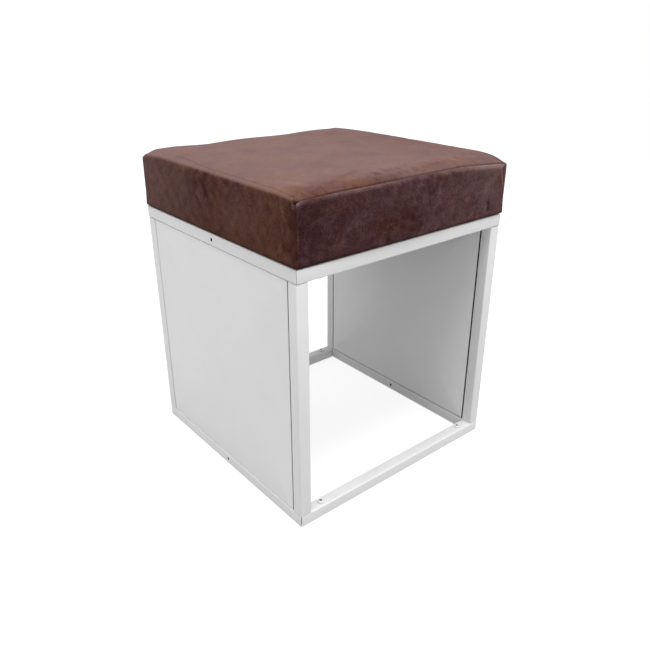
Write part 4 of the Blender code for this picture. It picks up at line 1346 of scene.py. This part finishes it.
def paintFront(front, fromTop, fromLeft, fromRight):
    # dark by the left seam and painted lighter to the right as painted light, with a painted highlight on the
    # rolled upper edge and painted highlight lines along the left corner and the dart
    x, z = front[:, :, 0], front[:, :, 2]
    rough = mottle(front, *pile["rough"], 51)
    wide = mottle(front, *pile["wideEnd"], 52)
    # painted highlight on the rolled upper edge, weaker in the middle and towards the left, stronger at the
    # right end and the very left corner
    lip = pile["lip"] + pile["lipRight"] * between(x, (100, 180))
    lip = lip - pile["lipMiddle"] * bell(x, 25 * mm, 80 * mm)
    lip = lip - pile["lipLeft"] * between(-x, (150, 180)) + pile["lipCorner"] * between(-x, (188, 204))
    lipWidth = (3.2 + 2.2 * between(x, (60, 190))) * mm
    lip = lip * np.exp(-(fromTop / lipWidth) ** pile["lipPower"])
    # painted light: the face is painted lighter towards the right
    napAndLight = pile["front"] + pile["frontRise"] * between(x, (-190, 200)) + pile["roughShare"] * rough + lip
    napAndLight = napAndLight + markSum(x, z, frontMarks, rough)
    # painted highlight lines along the left corner and, below, the dart
    napAndLight = napAndLight + pile["cornerLight"] * bell(fromLeft, 0.9 * mm, 0.8 * mm) * between(fromTop, (2, 8))
    dart = between(fromTop, (3, 9)) * (1 - between(fromTop, (28, 42)))
    napAndLight = napAndLight + pile["dartLight"] * dart * bell(fromRight, 1.8 * mm, 1.4 * mm)
    warm = pile["warmEnd"] + markSum(x, z, frontGold, rough) + 0.05 * wide
    return {"napAndLight": napAndLight, "warm": warm, "shade": endShade(fromTop, z)}


def paintBack(back, fromTop):
    # like the front, without its marks: a painted highlight on its rolled upper edge, and painted shade at
    # the seam and towards the fold
    rough = mottle(back, *pile["rough"], 61)
    wide = mottle(back, *pile["wideEnd"], 62)
    lip = pile["backLip"] * np.exp(-(fromTop / (3.4 * mm)) ** pile["lipPower"])
    napAndLight = pile["back"] + pile["roughShare"] * rough + 0.03 * wide + lip
    return {"napAndLight": napAndLight, "warm": 0.2 + 0.1 * wide, "shade": endShade(fromTop, back[:, :, 2])}


addCushion()


# Finishes of the hidden pieces that stay as the model has them

hiddenFinishes = {"_corner_key": castMetal, "_panel_pin": platedSteel, "_insert_nut": platedSteel,
                  "seat_board": plywood}
for nodeName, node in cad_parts.items():
    for ending, finish in hiddenFinishes.items():
        if nodeName.endswith(ending):
            node.data.materials.clear()
            node.data.materials.append(finish)


# Studio

studio = {
    "sky": 0.60, "floor": 0.42, "floorLift": 0.78, "floorSize": 6.0, "floorRoughness": 0.9,
    "target": (0.0, 0.0, 0.25),                               # the lamps look at it
    "lamps": {                                                # place, size and power
        "overLamp": ((-0.2, -0.9, 4.6), 2.0, 168.0),
        "frontLamp": ((-0.6, -4.5, 0.9), 2.0, 18.0),
        "sideLamp": ((-1.5, 0.9, 1.4), 1.0, 3.6),
    },
}
photoCamera = {"place": (-0.67645, -0.83155, 0.70811), "turn": (64.9069, 0.0631, -39.5954), "lens": 36.1537,
               "sensor": 36.0, "nearest": 0.01}


def addFloor():
    # white to the camera where nothing shades it, with the shadow of the object left in
    u, v = np.meshgrid(np.linspace(-0.5, 0.5, 3), np.linspace(-0.5, 0.5, 3), indexing="ij")
    points = np.stack([u, v, 0 * u], axis=-1).reshape(-1, 3) * studio["floorSize"]
    numbers = np.arange(len(points)).reshape(u.shape)
    floor = newObject("floor", meshFromArrays("floor", points, [gridFaces(numbers)]))
    material, tree, shader = newFinish("paleFloor")[:3]
    shader["Base Color"].default_value = grey(studio["floor"])
    shader["Roughness"].default_value = studio["floorRoughness"]
    shader["Specular IOR Level"].default_value = 0.0
    shader["Emission Color"].default_value = grey(1.0)
    feed(tree, shader["Emission Strength"], times(tree, seenOf(tree), studio["floorLift"]))
    floor.data.materials.append(material)


def addSky():
    # white to the camera, and dimmer as a light
    world = bpy.data.worlds.new("studio")
    scene.world = world
    world.use_nodes = True
    tree = world.node_tree
    background = tree.nodes["Background"].inputs
    background["Color"].default_value = grey(1.0)
    feed(tree, background["Strength"], rangeOf(tree, seenOf(tree), 0.0, 1.0, studio["sky"], 1.0))


def addLamp(name, place, size, power):
    # a round lamp, its -Z turned towards the target
    lamp = bpy.data.lights.new(name, "AREA")
    lamp.shape = "DISK"
    lamp.size = size
    lamp.energy = power
    item = newObject(name, lamp)
    item.location = place
    away = np.array(place) - np.array(studio["target"])
    tilt = math.atan2(math.hypot(away[0], away[1]), away[2])
    item.rotation_euler = (tilt, 0.0, math.atan2(away[0], -away[1]))


def addCamera():
    data = bpy.data.cameras.new("photoCamera")
    data.lens = photoCamera["lens"]
    data.sensor_width = photoCamera["sensor"]
    data.sensor_fit = "HORIZONTAL"
    data.clip_start = photoCamera["nearest"]
    item = newObject("photoCamera", data)
    item.location = photoCamera["place"]
    item.rotation_euler = tuple(math.radians(angle) for angle in photoCamera["turn"])
    scene.camera = item


addFloor()
addSky()
for lampName, lampSettings in studio["lamps"].items():
    addLamp(lampName, *lampSettings)
addCamera()
print("studio made")
